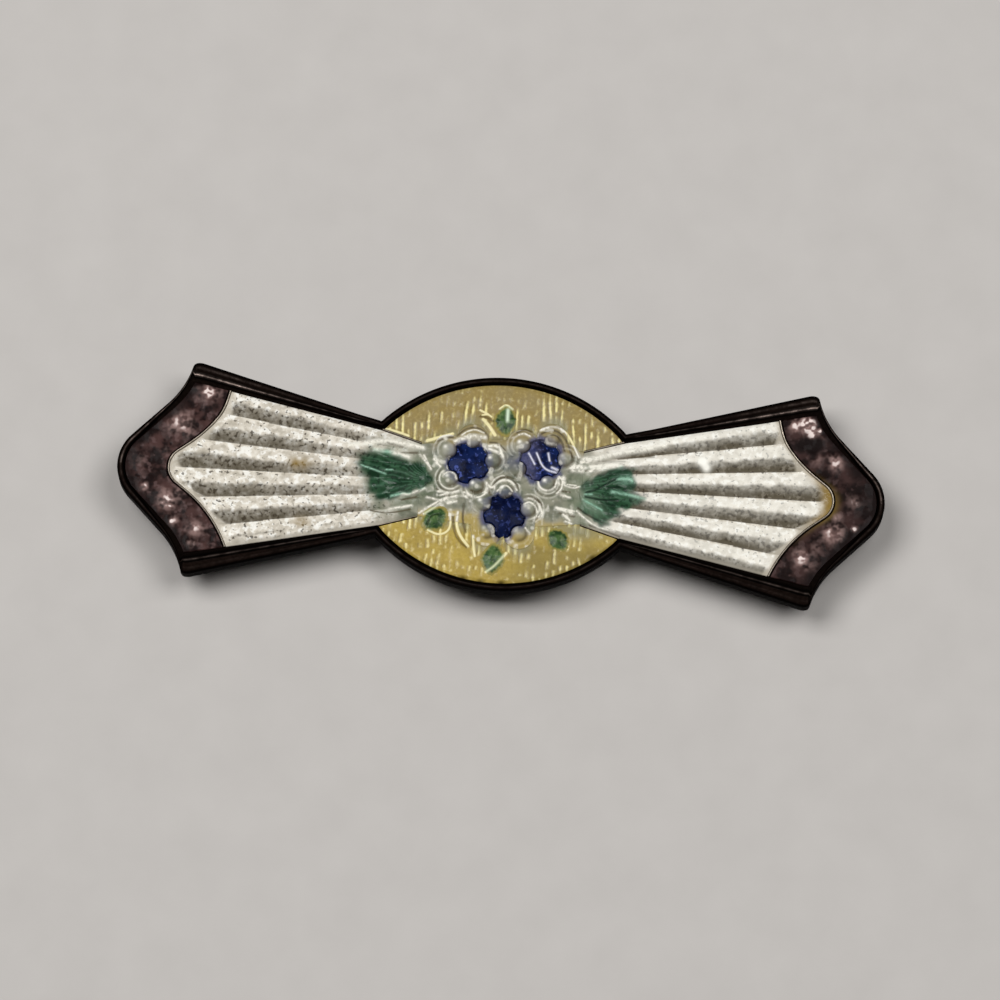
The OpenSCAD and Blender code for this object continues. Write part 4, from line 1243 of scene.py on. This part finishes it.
def small_leaf(name, heel_x, heel_y, length, wide, tilt):
    """Pointed oval blade: rings about its middle, whose width shrinks towards both ends, ragged
    at the rim and swelling as 1 minus the square of the share of the reach."""
    turn = np.linspace(0, 2 * np.pi, SMALL_POINTS, endpoint=False)
    share = shrinking_rings(SMALL_RINGS)
    ragged = share * (1 + 0.07 * grain(4 * np.cos(turn), 4 * np.sin(turn), 0.8, 88))
    u = length * (0.5 + 0.5 * ragged * np.cos(turn))
    v = 0.5 * wide * ragged * np.sin(turn) * (1 - 0.25 * np.abs(np.cos(turn)))
    c, s = np.cos(np.radians(tilt)), np.sin(np.radians(tilt))
    x, y = heel_x + u * c - v * s, heel_y + u * s + v * c
    raised, cut = line_mark(x, y, RAISED_LINES), line_mark(x, y, CUT_LINES)
    z = SMALL_TOP + SMALL_RISE * (1 - share**2) + 0.03 * raised - 0.03 * cut
    z = z + 0.012 * grain(x, y, 0.3, 87)
    z[-1] = z[-1].mean()
    # Pale streak along the bud's middle: a painted highlight.
    worn = ease(0.4, 0.55, u / length) * ease(0.97, 0.85, u / length) * (name == "bud_top")
    marks = {
        "streak": worn * bell(v + 0.1, 0.1), "rim": ease(0.6, 1.0, share) + 0 * u,
        "raised": raised, "cut": cut,
    }
    pole = (heel_x + 0.5 * length * c, heel_y + 0.5 * length * s, z[-1, 0])
    piece = domed(name + "_leaf", x, y, z, SMALL_UNDER, pole, leaf_green_enamel, marks)
    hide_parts(name)


for name, row in SMALL_LEAVES.items():
    small_leaf(name, *row)


# Back fittings: a hinge barrel with a riveted axle on a web, a catch bent to a C on a post, and a
# drawn wire stem ground to a point. Each is soldered to the plate's back by a pad. The photo
# hides them, so they keep the plain greyed silver and the forms usual on such pins.
AXLE_Z, STEM_Z = 1.15, 0.82
WEB_LOW, POST_LOW, BLOCK_HIGH = 1.3, 1.95, 2.15
# A pad's half length and half width, its foot and its top.
PAD = (1.7, 1.8, 2.12, PLATE_BACK - 0.03)
TURNED_POINTS, BLOCK_POINTS = 72, 64
HOOK_ROUND, HOOK_THICK, HOOK_WIDE = 0.95, 0.25, 0.75
HOOK_START, HOOK_SWEEP = 208, 304
HOOK_RINGS, HOOK_POINTS = 90, 40
metal = Finish("fitting_silver", {"Metallic": 0.85, "Specular IOR Level": 0.3})
cloud = metal.mottle(1.3, 3.0, shift=(6, 6, 1))
scratch = metal.mottle(0.09, 2.0, stretch=(0.12, 1, 1), shift=(1, 6, 6))
fitting_silver = metal.finish(
    Base_Color=metal.layered(
        seen(104, 92, 82),
        (metal.between(cloud, 0.36, 0.64), seen(154, 143, 132)),
        (metal.between(scratch, 0.56, 0.7) * 0.5, seen(188, 178, 166)),
        (metal.mark("crease"), seen(40, 30, 24)),
    ),
    Roughness=metal.between(scratch, 0.3, 0.7, 0.34, 0.5),
    Normal=metal.relief(scratch + cloud, 0.012, 0.5),
)
# Profiles of turned pieces: distance along the axis, radius, and darkness in a crease. The
# barrel's is half of it, up to its middle.
BARREL = [
    (-1.79, 0.12, 0), (-1.77, 0.26, 0), (-1.72, 0.36, 0.2), (-1.70, 0.42, 1), (-1.70, 0.60, 0.3),
    (-1.70, 1.02, 0), (-1.66, 1.12, 0), (-1.58, 1.18, 0), (-1.50, 1.20, 0), (-1.10, 1.20, 0),
    (-0.72, 1.20, 0), (-0.66, 1.17, 0.3), (-0.63, 1.08, 1), (-0.60, 1.17, 0.3), (-0.54, 1.20, 0),
    (0.0, 1.20, 0),
]
STEM = [
    (-18.0, 0.03, 0), (-17.97, 0.07, 0), (-17.8, 0.13, 0), (-17.4, 0.21, 0), (-17.0, 0.27, 0),
    (-16.5, 0.345, 0), (-16.1, 0.39, 0), (-15.7, 0.4, 0), (-9.0, 0.4, 0), (0.0, 0.4, 0),
    (9.0, 0.4, 0), (13.2, 0.4, 0), (13.5, 0.4, 0.6), (14.3, 0.4, 0.6), (14.5, 0.3, 0),
]
# Levels of a block: above its foot or below its top, growth of its outline, and darkness.
FOOT = [(0.0, -0.1, 0), (0.03, -0.04, 0), (0.1, 0, 0)]
SOLDER = [(-0.12, 0, 0.5), (0.0, 0, 1)]


def fit(name, points, faces, crease):
    """Lays a fitting's mesh in place of the one plain solid."""
    piece = lay_mesh(name, points, faces, fitting_silver, {"crease": crease}, sharp=40)
    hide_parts("back_pin")


def tube_faces(rows, columns):
    """Faces of rings of points, with one flat face at each end."""
    ends = [list(range(columns))[::-1], list(range((rows - 1) * columns, rows * columns))]
    return grid_faces(rows, columns, closed_rows=True) + ends


def turned(name, profile, middle, along_x):
    """Round closed piece: each ring of a profile is a circle of its radius about the axis, and
    what would reach below the floor is filed flat on it."""
    along, radius, crease = np.array(profile).T
    turn = np.linspace(0, 2 * np.pi, TURNED_POINTS, endpoint=False)
    first, second = radius[:, None] * np.cos(turn), radius[:, None] * np.sin(turn)
    down = np.broadcast_to(along[:, None], first.shape)
    ring = np.stack([down, first, second] if along_x else [second, down, first], -1)
    ends = np.zeros((2, 3))
    ends[:, 0 if along_x else 1] = along[[0, -1]]
    points = np.concatenate([ring.reshape(-1, 3), ends]) + middle
    points[:, 2] = np.maximum(points[:, 2], 0)
    rows, columns = first.shape
    a, last = np.arange(columns), (rows - 1) * columns
    b, pole = np.roll(a, -1), np.full(columns, rows * columns)
    faces = grid_faces(rows, columns, closed_rows=True)
    faces += np.stack([pole, b, a], 1).tolist()
    faces += np.stack([last + a, last + b, pole + 1], 1).tolist()
    fit(name, points, faces, np.concatenate([np.repeat(crease, columns), [0, 0]]))


def block(name, x, half_long, half_wide, low, high):
    """Upright block with round corners, its outline the curve cos to the power 0.3 by sin to the
    power 0.3, with bevels below and a little solder spread at the top."""
    turn = np.linspace(0, 2 * np.pi, BLOCK_POINTS, endpoint=False)
    c, s = np.cos(turn), np.sin(turn)
    shape = np.stack([np.sign(c) * np.abs(c) ** 0.3, np.sign(s) * np.abs(s) ** 0.3], 1)
    levels = [(low + z, grow, dark) for z, grow, dark in FOOT]
    levels += [(high + z, grow, dark) for z, grow, dark in SOLDER]
    points = np.concatenate([
        np.column_stack([shape * [half_long + grow, half_wide + grow] + [x, 0], 0 * c + z])
        for z, grow, _ in levels
    ])
    crease = np.repeat([dark for *_, dark in levels], BLOCK_POINTS)
    fit(name, points, tube_faces(len(levels), BLOCK_POINTS), crease)


def catch_hook():
    """Flat strip bent round the stem: a section, whose corners are rounded by the power 0.4 of
    its cosine and sine and shrink at both ends, carried along an arc of a circle."""
    t = np.linspace(0, 1, HOOK_RINGS)[:, None]
    bend = np.radians(HOOK_START + HOOK_SWEEP * t)
    s = np.linspace(0, 2 * np.pi, HOOK_POINTS, endpoint=False)[None]
    end = np.sqrt(1 - np.clip(1 - np.minimum(t, 1 - t) / 0.03, 0, 1) ** 2 * 0.8)
    r = HOOK_ROUND + HOOK_THICK * end * np.sign(np.cos(s)) * np.abs(np.cos(s)) ** 0.4
    x = -FITTING_X - HOOK_WIDE * end * np.sign(np.sin(s)) * np.abs(np.sin(s)) ** 0.4
    z = np.maximum(AXLE_Z + r * np.sin(bend), 0)
    points = np.stack([x, r * np.cos(bend), z], -1).reshape(-1, 3)
    fit("catch_hook", points, tube_faces(HOOK_RINGS, HOOK_POINTS), np.zeros(len(points)))


barrel = BARREL + [(-along, radius, crease) for along, radius, crease in BARREL[-2::-1]]
turned("hinge_barrel", barrel, (FITTING_X, 0, AXLE_Z), False)
turned("pin_stem", STEM, (0, 0, STEM_Z), True)
catch_hook()
block("hinge_web", FITTING_X, 0.6, 1.68, WEB_LOW, BLOCK_HIGH)
block("catch_post", -FITTING_X, 0.72, 0.38, POST_LOW, BLOCK_HIGH)
block("hinge_pad", FITTING_X, *PAD)
block("catch_pad", -FITTING_X, *PAD)


# Floor, light and camera: a pale matt sheet of paper, two broad soft lamps above the pin's left
# and right, a faint even light from all around, and a camera far away that looks steeply down.
WORLD_TONE, WORLD_STRENGTH = (1.0, 0.99, 0.98, 1), 0.035
LAMP_Y, LAMP_Z, LAMP_WIDE, LAMP_TALL = 0.045, 0.5, 0.26, 0.20
# Each lamp's name, its place along X in metres, and its power.
LAMPS = [("left", -0.19, 1.92), ("right", 0.19, 1.40)]
# The camera's distance in millimetres, its turn from straight in front and its rise in degrees.
CAMERA_AWAY, CAMERA_TURN, CAMERA_RISE = 400.0, 3.2, 77
CAMERA_TARGET = Vector((0.0, -0.00077, 0.003))
# The lens is as long as it takes to show a millimetre this large on a picture of this width.
PIXELS_PER_MM, PICTURE_PIXELS, SENSOR = 17.25, 1000, 36
bpy.ops.mesh.primitive_plane_add(size=3)
floor = bpy.context.object
floor.name = "floor"
paper = Finish("pale_floor", {"Roughness": 0.8, "Specular IOR Level": 0.0})
mottled = paper.layered(seen(189, 185, 181), (paper.mottle(3.0, 3.0), seen(198, 194, 190)))
floor.data.materials.append(paper.finish(Base_Color=mottled))

world = bpy.data.worlds.new("studio")
bpy.context.scene.world = world
world.use_nodes = True
background = world.node_tree.nodes["Background"]
background.inputs["Color"].default_value = WORLD_TONE
background.inputs["Strength"].default_value = WORLD_STRENGTH

for name, lamp_x, power in LAMPS:
    light = bpy.data.lights.new(name, "AREA")
    light.shape, light.size, light.size_y = "RECTANGLE", LAMP_WIDE, LAMP_TALL
    light.energy = power
    lamp = bpy.data.objects.new(name, light)
    lamp.location = (lamp_x, LAMP_Y, LAMP_Z)
    bpy.context.collection.objects.link(lamp)

camera = bpy.data.cameras.new("camera")
camera.sensor_width = SENSOR
camera.lens = PIXELS_PER_MM * CAMERA_AWAY / PICTURE_PIXELS * SENSOR
camera.clip_start, camera.clip_end = 0.01, 10
eye = bpy.data.objects.new("camera", camera)
turn, rise = np.radians(CAMERA_TURN), np.radians(CAMERA_RISE)
back = Vector((np.sin(turn) * np.cos(rise), -np.cos(turn) * np.cos(rise), np.sin(rise)))
eye.location = CAMERA_TARGET + back * CAMERA_AWAY * MM
eye.rotation_mode = "QUATERNION"
eye.rotation_quaternion = (-back).to_track_quat("-Z", "Y")
bpy.context.collection.objects.link(eye)
bpy.context.scene.camera = eye
bpy.context.scene.view_settings.view_transform = "Standard"
